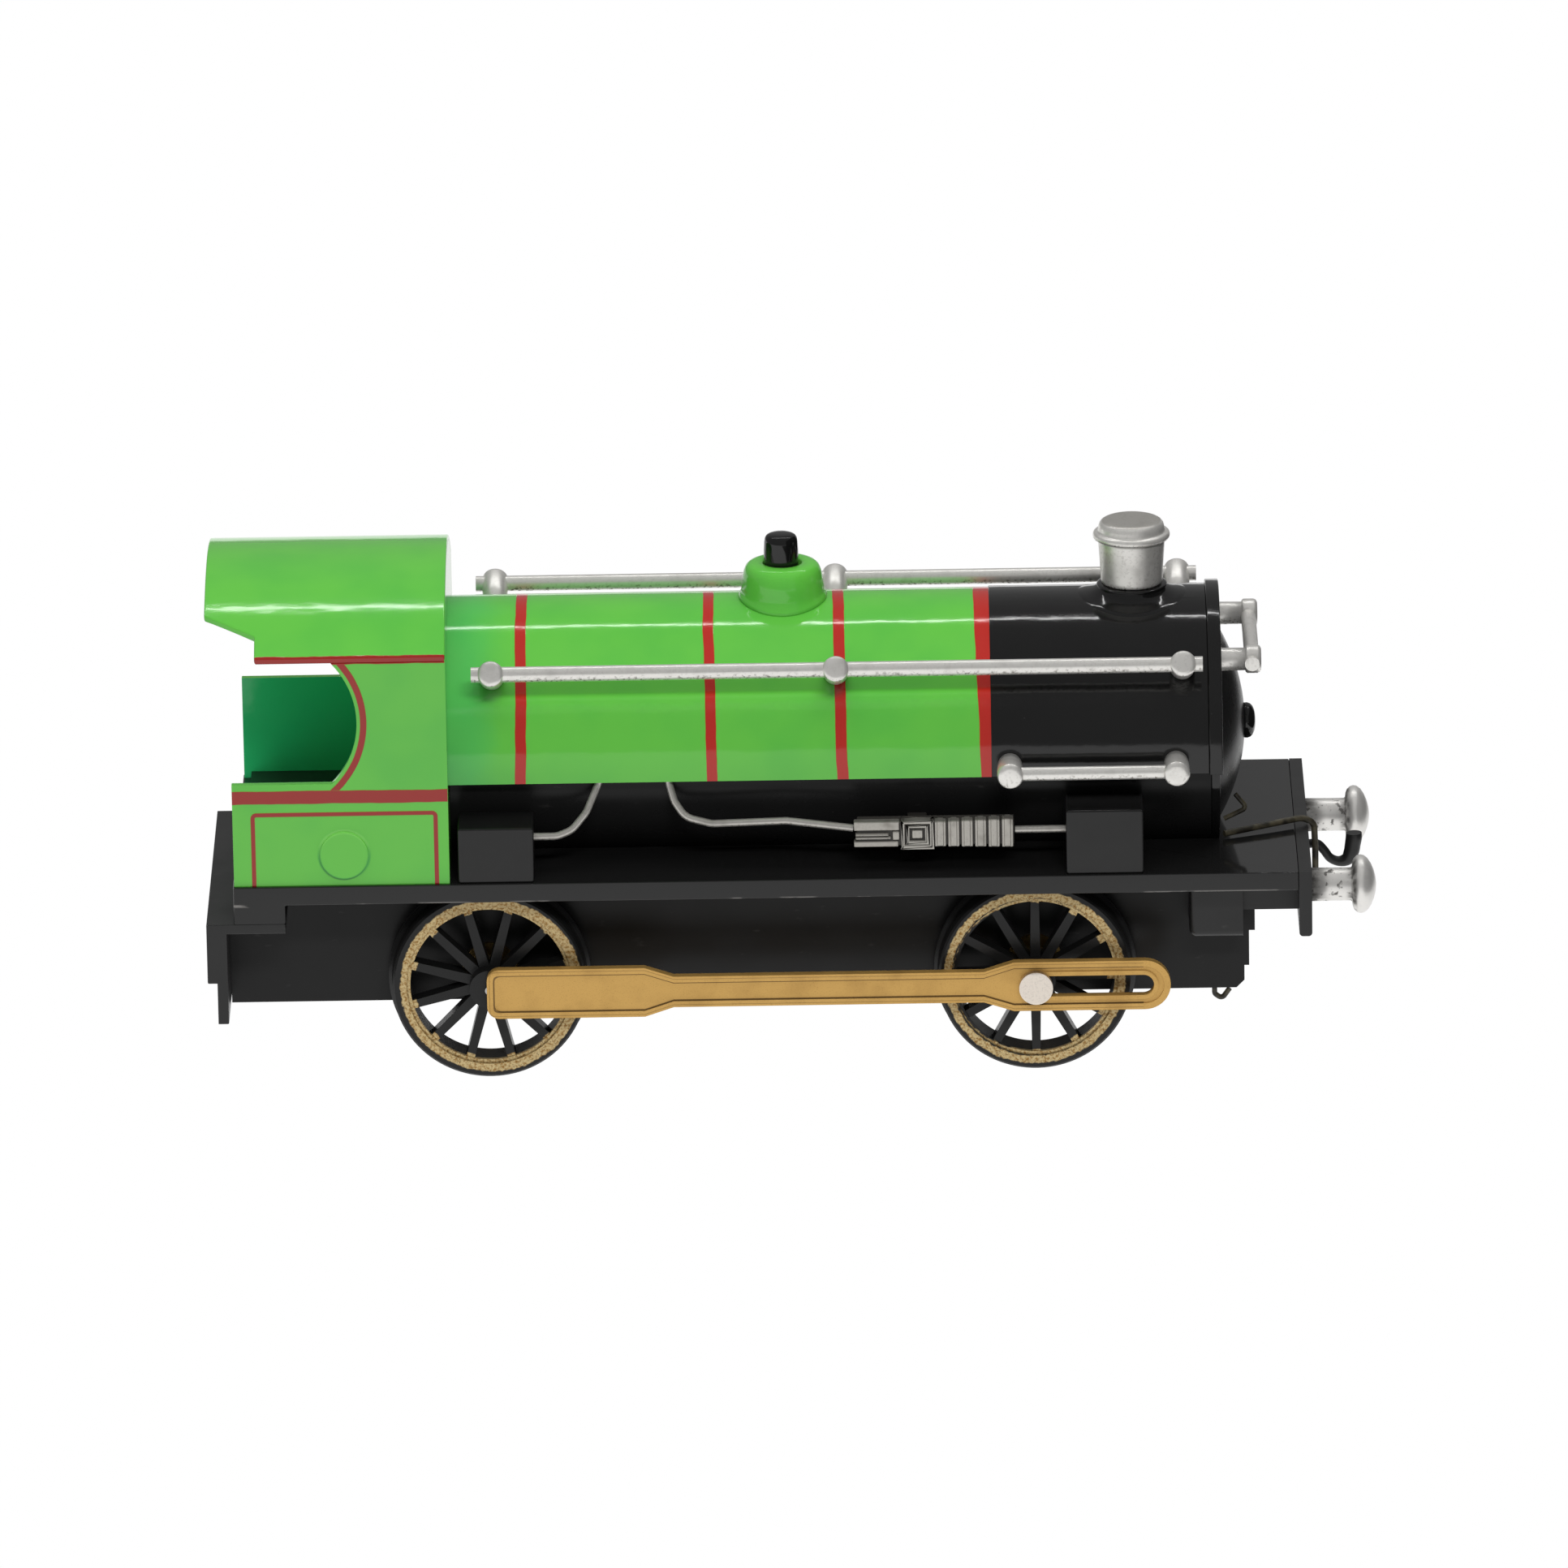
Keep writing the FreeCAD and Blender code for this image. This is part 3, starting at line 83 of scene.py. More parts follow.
GREEN = (0.092, 0.395, 0.044, 1)
GREEN_DEEP = (0.018, 0.260, 0.040, 1)
# A paler green for the painted highlight on the cab's boss.
GREEN_PAINTED_HIGHLIGHT = (0.240, 0.620, 0.140, 1)
# Teal green that stands for the shade inside the cab.
GREEN_PAINTED_SHADE_INSIDE = (0.000, 0.680, 0.270, 1)
# Teal green for the painted reflection and shade of the cab on the boiler.
GREEN_CAB_REFLECTION = (0.000, 0.300, 0.110, 1)
DARK_RED = (0.235, 0.014, 0.010, 1)
RED = (0.340, 0.016, 0.011, 1)
BLACK = (0.004, 0.004, 0.004, 1)
SATIN_BLACK = (0.008, 0.008, 0.008, 1)
WORN_BLACK = (0.075, 0.072, 0.068, 1)
SILVER = (0.780, 0.765, 0.730, 1)
SILVER_DARK = (0.170, 0.155, 0.130, 1)
GOLD = (0.560, 0.335, 0.095, 1)
GOLD_DARK = (0.250, 0.130, 0.030, 1)
GOLD_PALE = (0.520, 0.400, 0.200, 1)
STEEL = (0.600, 0.595, 0.580, 1)
PIN = (0.900, 0.820, 0.730, 1)
DULL_SILVER = (0.500, 0.485, 0.450, 1)
BRASS = (0.700, 0.480, 0.180, 1)
COPPER = (0.700, 0.330, 0.190, 1)
WICK = (0.700, 0.660, 0.560, 1)
WICK_DARK = (0.350, 0.300, 0.240, 1)
# Near-black for the painted shade in the castings' hollows.
RECESS_SHADE = (0.030, 0.028, 0.025, 1)
EDGE_PATCH_GREY = (0.200, 0.190, 0.180, 1)
LACQUER = (0.010, 0.009, 0.007, 1)
LACQUER_WORN = (0.050, 0.044, 0.028, 1)
BUFFER_SILVER = (0.800, 0.785, 0.755, 1)
BUFFER_DIRT = (0.045, 0.040, 0.035, 1)
CASTING = (0.400, 0.385, 0.350, 1)
# Dark brown for the painted shade beside the rods' raised edges.
ROD_PAINTED_SHADE = (0.060, 0.030, 0.010, 1)


class Surface:
    """A material whose nodes are laid out by short calls. Sizes are in millimetres."""

    def __init__(self, name, roughness=0.4, metallic=0.0, specular=0.5):
        self.material = bpy.data.materials.new(name)
        self.material.use_nodes = True
        self.tree = self.material.node_tree
        self.shader = self.tree.nodes["Principled BSDF"]
        self.shader.inputs["Roughness"].default_value = roughness
        self.shader.inputs["Metallic"].default_value = metallic
        self.shader.inputs["Specular IOR Level"].default_value = specular
        place = self.add("ShaderNodeTexCoord").outputs["Object"]
        scaled = self.add("ShaderNodeVectorMath", operation="SCALE")
        scaled.inputs["Scale"].default_value = 1 / MM
        self.tree.links.new(place, scaled.inputs[0])
        self.place = scaled.outputs["Vector"]
        split = self.add("ShaderNodeSeparateXYZ")
        self.tree.links.new(self.place, split.inputs[0])
        self.x, self.y, self.z = split.outputs
        self.height = None

    def add(self, kind, **settings):
        """A new node with its settings."""
        node = self.tree.nodes.new(kind)
        for name, value in settings.items():
            setattr(node, name, value)
        return node

    def feed(self, socket, value):
        """Link an output to a socket, or set the socket's own value."""
        if isinstance(value, bpy.types.NodeSocket):
            self.tree.links.new(value, socket)
        else:
            socket.default_value = value

    def maths(self, operation, first, second=0.0, third=0.0):
        """One step of arithmetic."""
        node = self.add("ShaderNodeMath", operation=operation)
        for socket, value in zip(node.inputs, (first, second, third)):
            self.feed(socket, value)
        return node.outputs[0]

    def noise(self, size, detail=3.0, stretch=(1, 1, 1)):
        """Cloudy noise from 0 to 1 with features of about that size."""
        mapping = self.add("ShaderNodeMapping")
        self.feed(mapping.inputs["Vector"], self.place)
        mapping.inputs["Scale"].default_value = stretch
        node = self.add("ShaderNodeTexNoise")
        self.feed(node.inputs["Vector"], mapping.outputs[0])
        node.inputs["Scale"].default_value = 1 / size
        node.inputs["Detail"].default_value = detail
        return node.outputs["Fac"]

    def ramp(self, value, start, end):
        """0 below start, 1 above end, smooth between."""
        node = self.add("ShaderNodeMapRange", interpolation_type="SMOOTHSTEP")
        for name, amount in (("Value", value), ("From Min", start), ("From Max", end)):
            self.feed(node.inputs[name], amount)
        return node.outputs["Result"]

    def band(self, value, start, end, soft=0.08):
        """1 between start and end."""
        rise = self.ramp(value, start - soft, start + soft)
        fall = self.ramp(value, end + soft, end - soft)
        return self.maths("MULTIPLY", rise, fall)

    def either(self, *masks):
        """1 where any of the masks is."""
        result = masks[0]
        for mask in masks[1:]:
            result = self.maths("MAXIMUM", result, mask)
        return result

    def mix(self, mask, first, second):
        """The first colour, or the second where the mask is 1."""
        node = self.add("ShaderNodeMix", data_type="RGBA")
        self.feed(node.inputs["Factor"], mask)
        self.feed(node.inputs[6], first)
        self.feed(node.inputs[7], second)
        return node.outputs[2]

    def blend(self, mask, first, second):
        """The first number, or the second where the mask is 1."""
        span = self.maths("MULTIPLY", mask, second - first)
        return self.maths("ADD", span, first)

    def length(self, first, second):
        """The length of a vector with these two parts."""
        squares = [self.maths("MULTIPLY", part, part) for part in (first, second)]
        return self.maths("SQRT", self.maths("ADD", *squares))

    def times(self, *values):
        """The product of two or more numbers."""
        result = values[0]
        for value in values[1:]:
            result = self.maths("MULTIPLY", result, value)
        return result

    def wobble(self, size, detail, reach, stretch=(1, 1, 1)):
        """Noise that swings by about half of reach to either side of nothing."""
        return self.maths("MULTIPLY_ADD", self.noise(size, detail, stretch), reach, -reach / 2)

    def colour(self, value):
        """Set the surface's colour."""
        self.feed(self.shader.inputs["Base Color"], value)

    def roughness(self, value):
        """Set the surface's roughness."""
        self.feed(self.shader.inputs["Roughness"], value)

    def bump(self, height, millimetres):
        """Add relief of that depth."""
        node = self.add("ShaderNodeBump")
        node.inputs["Distance"].default_value = millimetres * MM
        self.feed(node.inputs["Height"], height)
        if self.height is not None:
            self.feed(node.inputs["Normal"], self.height)
        self.height = node.outputs["Normal"]
        self.feed(self.shader.inputs["Normal"], self.height)


def gloss_paint(name, base, shade):
    """Thick brushed gloss paint with soft ripples, and small clouds in its colour."""
    surface = Surface(name, roughness=0.10)
    clouds = surface.ramp(surface.noise(14, 2), 0.35, 0.75)
    surface.bump(surface.noise(4.0, 2, (0.5, 1, 1)), 0.045)
    surface.bump(surface.noise(1.1, 2), 0.006)
    return surface, surface.mix(surface.times(clouds, 0.22), base, shade)


def dusty(surface, colour, amount=0.5):
    """Scattered pale specks on a gloss surface."""
    specks = surface.ramp(surface.noise(0.9, 4), 0.74, 0.80)
    return surface.mix(surface.times(specks, amount), colour, WORN_BLACK)


def plain_green():
    """Green gloss paint for the dome."""
    surface, base = gloss_paint("green_gloss", GREEN, GREEN_DEEP)
    surface.colour(base)
    return surface.material


# Each hand-painted ring: its middle a little above mid height, half its width, and its lean in mm per mm.
BOILER_RINGS = ((-49.9, 1.02, 0.012), (-14.65, 0.98, -0.016), (9.6, 1.05, -0.014), (37.0, 1.9, -0.040))
RING_MIDDLE = BOILER_Z / MM + 12
# Where the painted reflection of the cab starts and ends along the boiler, in millimetres.
SHADE_START, SHADE_END = -49, -57


def boiler_green():
    """Green paint with four red rings, drawn a little unevenly, and a painted reflection and shade of the cab
    close to it.
    """
    surface, base = gloss_paint("green_boiler", GREEN, GREEN_DEEP)
    wobble = surface.wobble(9, 2, 0.7, (0.2, 1, 1))
    rings = []
    for centre, half, lean in BOILER_RINGS:
        rise = surface.maths("MULTIPLY_ADD", surface.z, lean, -lean * RING_MIDDLE)
        across = surface.maths("SUBTRACT", surface.maths("ADD", surface.x, wobble), rise)
        rings.append(surface.band(across, centre - half, centre + half))
    red = surface.either(*rings)
    surface.bump(red, 0.05)
    # Painted reflection and shade of the cab: the paint turns a darker teal green close to it.
    cloudy_x = surface.maths("ADD", surface.x, surface.times(surface.noise(7, 2), 6))
    cab_reflection = surface.ramp(cloudy_x, SHADE_START, SHADE_END)
    base = surface.mix(surface.times(cab_reflection, 0.32), base, GREEN_CAB_REFLECTION)
    surface.colour(surface.mix(red, base, RED))
    return surface.material


# The cab sides' red lining, in millimetres: the heights of the waist and eave lines, the low panel's
# frame, the arc round the opening and the round boss.
WAIST_LOW, WAIST_HIGH = 57.2, 59.7
EAVE_LINE = 84.2
PANEL_SHIFT, PANEL_HALF, PANEL_CORNER, PANEL_TOP = 0.7, 17.0, 0.7, 55.1
ARC_X, ARC_Z, ARC_INNER, ARC_OUTER = -97.2, 72.9, 17.75, 18.95
BOSS_X, BOSS_Z, BOSS_INNER, BOSS_OUTER = -83.0, 47.1, 4.35, 4.95


def panel_line(surface, middle_x):
    """The rounded line round the cab side's low panel."""
    beyond_x = surface.maths("SUBTRACT", surface.x, middle_x)
    beyond_x = surface.maths("SUBTRACT", surface.maths("ABSOLUTE", beyond_x), PANEL_HALF - PANEL_CORNER)
    beyond_z = surface.maths("SUBTRACT", surface.z, PANEL_TOP - PANEL_CORNER)
    outside = surface.length(surface.maths("MAXIMUM", beyond_x, 0.0), surface.maths("MAXIMUM", beyond_z, 0.0))
    inside = surface.maths("MINIMUM", surface.maths("MAXIMUM", beyond_x, beyond_z), 0.0)
    edge = surface.maths("SUBTRACT", surface.maths("ADD", outside, inside), PANEL_CORNER)
    return surface.band(edge, -0.42, 0.38)


def boss_shading(surface, base, on_side):
    """A painted highlight on the upper edge of the boss and painted shade under its lower edge."""
    from_x = surface.maths("SUBTRACT", surface.x, BOSS_X)
    from_z = surface.maths("SUBTRACT", surface.z, BOSS_Z)
    rim = surface.band(surface.length(from_x, from_z), BOSS_INNER, BOSS_OUTER, 0.2)
    rim = surface.times(rim, on_side)
    # Painted shade under the boss's lower edge, and a painted highlight on its upper edge.
    below = surface.times(rim, surface.ramp(from_z, 2.5, -1.5))
    above = surface.times(rim, surface.ramp(from_z, 0.5, 3.5))
    base = surface.mix(surface.times(below, 0.65), base, GREEN_DEEP)
    return surface.mix(surface.times(above, 0.35), base, GREEN_PAINTED_HIGHLIGHT)


def cab_green():
    """Green paint with the cab sides' red lining, and painted shade inside in a teal green."""
    surface, base = gloss_paint("green_cab", GREEN, GREEN_DEEP)
    rear, front = low("cab_body").x / MM, high("cab_body").x / MM
    outside = high("cab_roof").y / MM
    across = surface.maths("ABSOLUTE", surface.y)
    height = surface.maths("ADD", surface.z, surface.wobble(6, 2, 0.5))
    waist = surface.band(height, WAIST_LOW, WAIST_HIGH)
    panel = panel_line(surface, (rear + front) / 2 + PANEL_SHIFT)
    reach = surface.length(surface.maths("SUBTRACT", surface.x, ARC_X),
                           surface.maths("SUBTRACT", height, ARC_Z))
    above_waist = surface.ramp(surface.z, WAIST_HIGH - 0.1, WAIST_HIGH + 0.1)
    arc = surface.times(surface.band(reach, ARC_INNER, ARC_OUTER), above_waist)
    eave = surface.ramp(height, EAVE_LINE, EAVE_LINE + 0.2)
    on_side = surface.ramp(across, outside - 0.3, outside - 0.1)
    ahead = surface.ramp(surface.x, front - 0.1, front - 0.02)
    red = surface.times(surface.either(waist, panel, arc, eave), on_side,
                        surface.maths("SUBTRACT", 1.0, ahead))
    # Painted shade: the inner faces of the cab take a teal green.
    painted_shade_inside = surface.times(surface.ramp(across, outside - 1.25, outside - 1.5),
                            surface.ramp(surface.x, front - 0.3, front - 0.8))
    surface.bump(red, 0.05)
    base = boss_shading(surface, base, on_side)
    surface.colour(surface.mix(red, surface.mix(painted_shade_inside, base, GREEN_PAINTED_SHADE_INSIDE), DARK_RED))
    return surface.material


def roof_green():
    """Green paint with a red line along both lower edges of the roof."""
    surface, base = gloss_paint("green_roof", GREEN, GREEN_DEEP)
    across = surface.maths("ABSOLUTE", surface.y)
    edge = high("cab_roof").y / MM
    red = surface.ramp(surface.maths("ADD", across, surface.wobble(5, 3, 0.5)), edge - 0.35, edge - 0.2)
    surface.bump(red, 0.04)
    surface.colour(surface.mix(red, base, DARK_RED))
    return surface.material


def black_gloss():
    """Black gloss paint, rippled and a little dusty."""
    surface, base = gloss_paint("black_gloss", BLACK, SATIN_BLACK)
    surface.colour(dusty(surface, base))
    return surface.material


def black_satin(name="black_satin", roughness=0.34, specular=0.42):
    """Satin black, a little uneven, with faint scuffs."""
    surface = Surface(name, roughness=roughness, specular=specular)
    clouds = surface.noise(9, 3)
    scuffs = surface.ramp(surface.noise(1.6, 5, (0.35, 1, 1)), 0.66, 0.80)
    surface.colour(surface.mix(surface.times(scuffs, 0.35), SATIN_BLACK, WORN_BLACK))
    surface.roughness(surface.blend(clouds, roughness - 0.08, roughness + 0.10))
    surface.bump(surface.noise(0.7, 2), 0.004)
    return surface.material


def valance_black():
    """Satin black deck, glossier on top, with lighter grey patches along the valance's lower edge."""
    surface = Surface("black_deck", roughness=0.3, specular=0.43)
    outside = high("footplate").y / MM
    deck = DECK_TOP / MM
    on_edge = surface.band(surface.z, VALANCE_LOW - 0.2, VALANCE_LOW + 0.25, 0.2)
    patches = surface.ramp(surface.noise(3.2, 5, (0.4, 1, 1)), 0.52, 0.60)
    on_side = surface.ramp(surface.maths("ABSOLUTE", surface.y), outside - 0.5, outside - 0.3)
    on_top = surface.ramp(surface.z, deck - 0.2, deck - 0.02)
    # Lighter grey patches on the valance's lower edge, on its outer face only.
    edge_patches = surface.times(on_edge, patches, on_side)
    surface.colour(surface.mix(surface.times(edge_patches, 0.8), SATIN_BLACK, EDGE_PATCH_GREY))
    surface.roughness(surface.blend(on_top, 0.34, 0.09))
    surface.bump(surface.noise(7, 2), 0.010)
    return surface.material


def box_black():
    """Satin black boxes with smooth glossy tops."""
    surface = Surface("black_box", roughness=0.34, specular=0.42)
    top = high("footplate_boxes").z / MM
    on_top = surface.ramp(surface.z, top - 0.4, top - 0.1)
    surface.colour(surface.mix(surface.noise(5, 4), BLACK, SATIN_BLACK))
    surface.roughness(surface.blend(on_top, 0.34, 0.07))
    surface.bump(surface.noise(0.7, 2), 0.004)
    return surface.material


def wire_black():
    """Old black lacquer on wire, worn to a dull olive."""
    surface = Surface("wire_lacquer", roughness=0.4, specular=0.4)
    worn = surface.ramp(surface.noise(2.5, 4), 0.35, 0.65)
    surface.colour(surface.mix(worn, LACQUER, LACQUER_WORN))
    surface.bump(surface.noise(0.5, 3), 0.01)
    return surface.material


def silver_paint(name="silver_paint", wear=0.5, grain=0.55, base=SILVER, painted_shade_above=None):
    """Aluminium paint over black, thin and speckled underneath, with painted shade above a height if given.
    """
    surface = Surface(name, roughness=0.36, metallic=0.75)
    normal = surface.add("ShaderNodeNewGeometry").outputs["Normal"]
    split = surface.add("ShaderNodeSeparateXYZ")
    surface.feed(split.inputs[0], normal)
    below = surface.ramp(split.outputs[2], 0.15, -0.75)
    speckle = surface.ramp(surface.noise(grain, 6), 0.50, 0.68)
    patches = surface.ramp(surface.noise(3.5, 4), 0.50, 0.78)
    grime = surface.times(speckle, surface.blend(below, 0.10, 1.0))
    grime = surface.either(grime, surface.times(patches, wear * 0.45))
    # Painted shade: above the height the silver turns darker.
    if painted_shade_above:
        base = surface.mix(surface.ramp(surface.z, painted_shade_above - 0.1, painted_shade_above + 0.1), base, DULL_SILVER)
    surface.colour(surface.mix(grime, base, SILVER_DARK))
    surface.roughness(surface.blend(grime, 0.33, 0.62))
    surface.bump(surface.noise(0.5, 3), 0.012)
    return surface.material


def buffer_paint():
    """Silver paint that is rubbed and dirty on the shanks and behind the heads."""
    surface = Surface("buffer_silver", roughness=0.38, metallic=0.75)
    behind_head = high("buffers").x / MM - 4.4
    beam = low("buffers").x / MM
    near_head = surface.times(surface.ramp(surface.x, behind_head - 1.6, behind_head + 0.1),
                              surface.ramp(surface.x, behind_head + 1.0, behind_head + 0.3))
    near_beam = surface.ramp(surface.x, beam + 4.5, beam)
    blots = surface.ramp(surface.noise(1.3, 6), 0.55, 0.66)
    smears = surface.ramp(surface.noise(2.2, 5, (0.4, 1, 1)), 0.35, 0.62)
    edges = surface.times(surface.either(near_head, near_beam), smears)
    on_shank = surface.ramp(surface.x, behind_head + 0.2, behind_head)
    spots = surface.times(blots, surface.blend(on_shank, 0.05, 0.80))
    dirt = surface.either(surface.times(edges, 0.85), spots)
    surface.colour(surface.mix(dirt, BUFFER_SILVER, BUFFER_DIRT))
    surface.roughness(surface.blend(dirt, 0.36, 0.7))
    surface.bump(surface.noise(0.6, 3), 0.012)
    return surface.material


def painted_recess_shade():
    """Painted shade in the hollows of the silver castings."""
    surface = Surface("recess_shade_paint", roughness=0.6)
    surface.colour(RECESS_SHADE)
    return surface.material


# The side rods' outline in millimetres: where its height changes, half its height, and by how much
# the middle is narrower.
ROD_NARROWS = (-27.7, -22.3)
ROD_WIDENS = (35.5, 41.1)
ROD_HALF, ROD_WAIST, ROD_CORNER = 4.8, 1.8, 1.6


def gold_paint():
    """Bronze-gold paint with fine grains of metal, and painted shade in lines beside the rod's raised edge.
    """
    surface = Surface("gold_paint", roughness=0.42, metallic=0.55)
    grain = surface.noise(0.16, 4)
    dark = surface.ramp(grain, 0.56, 0.72)
    patches = surface.ramp(surface.noise(6, 3), 0.4, 0.8)
    tone = surface.mix(surface.times(patches, 0.35), GOLD, GOLD_DARK)
    rod_rear, rod_front = low("side_rod_right").x / MM, high("side_rod_right").x / MM
    narrow = surface.add("ShaderNodeMapRange")
    wide = surface.add("ShaderNodeMapRange")
    for node, (start, end) in ((narrow, ROD_NARROWS), (wide, ROD_WIDENS)):
        for socket, value in (("Value", surface.x), ("From Min", start), ("From Max", end)):
            surface.feed(node.inputs[socket], value)
    change = surface.maths("SUBTRACT", wide.outputs["Result"], narrow.outputs["Result"])
    half = surface.maths("MULTIPLY_ADD", change, ROD_WAIST, ROD_HALF)
    level = surface.maths("ABSOLUTE", surface.maths("SUBTRACT", surface.z, AXLE_Z / MM))
    above = surface.maths("SUBTRACT", half, level)
    behind = surface.maths("SUBTRACT", surface.x, rod_rear)
    inside = surface.maths("SMOOTH_MIN", above, behind, ROD_CORNER)
    ahead = surface.ramp(surface.x, rod_front - 4.9, rod_front - 5.2)
    # Painted shade in two thin lines along the rod's raised edge.
    inner = surface.band(inside, 1.16, 1.42, 0.05)
    outer = surface.times(surface.band(inside, 0.42, 0.55, 0.05), 0.6)
    lines = surface.times(surface.either(inner, outer), ahead, 0.75)
    speckled = surface.mix(surface.times(dark, 0.55), tone, GOLD_DARK)
    surface.colour(surface.mix(lines, speckled, ROD_PAINTED_SHADE))
    surface.bump(grain, 0.010)
    return surface.material


WHEEL_FACE = 25.2


def wheel_gold(name, axle_x, shift, first, last):
    """Black, with speckled gold paint on the face between two radii, a little off centre."""
    surface = Surface(name, roughness=0.32, specular=0.28)
    radius = surface.length(surface.maths("SUBTRACT", surface.x, axle_x / MM + shift),
                            surface.maths("SUBTRACT", surface.z, AXLE_Z / MM))
    ragged = surface.maths("ADD", radius, surface.wobble(1.1, 4, 0.9))
    ring = surface.band(ragged, first, last, 0.14)
    face = surface.ramp(surface.maths("ABSOLUTE", surface.y), WHEEL_FACE, WHEEL_FACE + 0.3)
    rubbed = surface.ramp(surface.noise(0.22, 6), 0.52, 0.66)
    worn = surface.ramp(surface.noise(5, 3), 0.45, 0.75)
    missing = surface.times(rubbed, surface.blend(worn, 0.40, 0.95))
    gold = surface.times(ring, face, surface.maths("SUBTRACT", 1.0, missing))
    pale = surface.mix(surface.ramp(surface.noise(0.5, 4), 0.4, 0.7), GOLD_PALE, GOLD_DARK)
    surface.colour(surface.mix(gold, SATIN_BLACK, pale))
    surface.feed(surface.shader.inputs["Metallic"], surface.times(gold, 0.5))
    surface.bump(surface.noise(0.4, 4), 0.02)
    return surface.material


def metal(name, colour, roughness=0.32):
    """Bare metal with fine turning marks."""
    surface = Surface(name, roughness=roughness, metallic=1.0)
    marks = surface.noise(0.35, 3, (1, 0.15, 1))
    dark = tuple(0.5 * part for part in colour[:3]) + (1,)
    surface.colour(surface.mix(surface.times(surface.ramp(marks, 0.45, 0.75), 0.3), colour, dark))
    surface.bump(marks, 0.006)
    return surface.material


def cotton():
    """Pale cotton wick."""
    surface = Surface("wick_cotton", roughness=0.95)
    threads = surface.noise(0.5, 3, (1, 1, 0.2))
    surface.colour(surface.mix(threads, WICK, WICK_DARK))
    surface.bump(threads, 0.1)
    return surface.material


MATERIALS = {
    "green": plain_green(),
    "boiler": boiler_green(),
    "cab": cab_green(),
    "roof": roof_green(),
    "gloss": black_gloss(),
    "satin": black_satin(),
    "deck": valance_black(),
    "silver": silver_paint(),
    "buffer": buffer_paint(),
    "recess_shade": painted_recess_shade(),
    "casting": silver_paint("casting_silver", 1.2, 0.35, CASTING),
    "pipe": silver_paint("pipe_silver", 0.8, 0.5, DULL_SILVER),
    # The cap's top gets painted shade.
    "cap": silver_paint("cap_silver", painted_shade_above=high("chimney_cap").z / MM - 0.25),
    "pin": metal("pin_steel", PIN, 0.5),
    "frame": black_satin("black_frame", 0.3, 0.22),
    "box": box_black(),
    "wire": wire_black(),
    "door": black_satin("black_door", 0.26, 0.18),
    "gold": gold_paint(),
    "steel": metal("steel", STEEL),
    "brass": metal("brass", BRASS),
    "copper": metal("copper", COPPER),
    "wick": cotton(),
    "rear_tyre": wheel_gold("rear_tyre_gold", REAR_AXLE_X, 0.3, 14.9, 16.95),
    "front_tyre": wheel_gold("front_tyre_gold", FRONT_AXLE_X, -0.2, 15.55, 16.95),
    "rear_spokes": wheel_gold("rear_spoke_black", REAR_AXLE_X, 0.3, 14.3, 16.9),
    "front_spokes": wheel_gold("front_spoke_black", FRONT_AXLE_X, -1.0, 14.5, 16.9),
}

# The nodes that keep their own shape, by material.
PAINTED = {
    "boiler": ["boiler_cladding"],
    "cab": ["cab_body"],
    "roof": ["cab_roof"],
    "gloss": ["smokebox_shell", "smokebox_front"],
    "door": ["smokebox_door", "lower_casing"],
    "frame": ["side_frames", "frame_stretchers"],
    "satin": ["front_buffer_beam", "rear_drag_beam", "front_sandboxes", "smokebox_saddle", "cab_floor",
              "burner_tray", "cylinder_covers"],
    "box": ["footplate_boxes"],
    "wire": ["front_wires"],
    "deck": ["footplate"],
    "silver": ["side_handrails", "front_handrail"],
    "pipe": ["feed_pipes"],
    "gold": ["side_rod_right", "side_rod_left"],
    "rear_tyre": ["rear_tyres"],
    "front_tyre": ["front_tyres"],
    "rear_spokes": ["rear_wheel_centres"],
    "front_spokes": ["front_wheel_centres"],
    "pin": ["rod_pin_right", "rod_pin_left"],
    "steel": ["rear_axle", "front_axle", "crank_pins", "body_screws", "guide_bars", "piston_rod",
              "connecting_rod", "slide_valve", "eccentric_rod", "valve_eccentric"],
    "brass": ["boiler_barrel", "boiler_end_caps", "filler_bush", "axle_bushes", "piston",
              "cylinder_block"],
    "copper": ["steam_pipe", "exhaust_pipe"],
    "wick": ["burner_wicks"],
}
for paint, names in PAINTED.items():
    for name in names:
        for place in NODES[name].material_slots:
            place.material = MATERIALS[paint]


# --- Softened edges on the CAD pieces -----------------------------------------------------------

def round_edges(thing, width, segments=2, limit=32):
    """Round a piece's sharp edges with modifiers."""
    weld = thing.modifiers.new("weld", "WELD")
    weld.merge_threshold = 1e-6
    bevel = thing.modifiers.new("bevel", "BEVEL")
    bevel.width = width * MM
    bevel.segments = segments
    bevel.limit_method = "ANGLE"
    bevel.angle_limit = math.radians(limit)
    bevel.harden_normals = False
    normals = thing.modifiers.new("normals", "WEIGHTED_NORMAL")
    normals.keep_sharp = False
    normals.weight = 90


# The width of each edge's rounding in millimetres, and the nodes that have it.
SOFT_EDGES = {
    0.45: ["cab_body", "footplate_boxes"],
    0.40: ["side_handrails", "front_handrail", "body_screws"],
    0.30: ["rod_pin_right", "rod_pin_left", "cab_roof", "footplate", "front_buffer_beam",
           "side_rod_right", "side_rod_left"],
    0.25: ["rear_drag_beam", "front_sandboxes", "cylinder_block", "burner_tray"],
    0.20: ["rear_wheel_centres", "front_wheel_centres", "smokebox_front"],
    0.15: ["smokebox_shell", "lower_casing"],
}
for width, names in SOFT_EDGES.items():
    for name in names:
        round_edges(NODES[name], width)


# --- Pieces with softer shapes than the frame's -------------------------------------------------

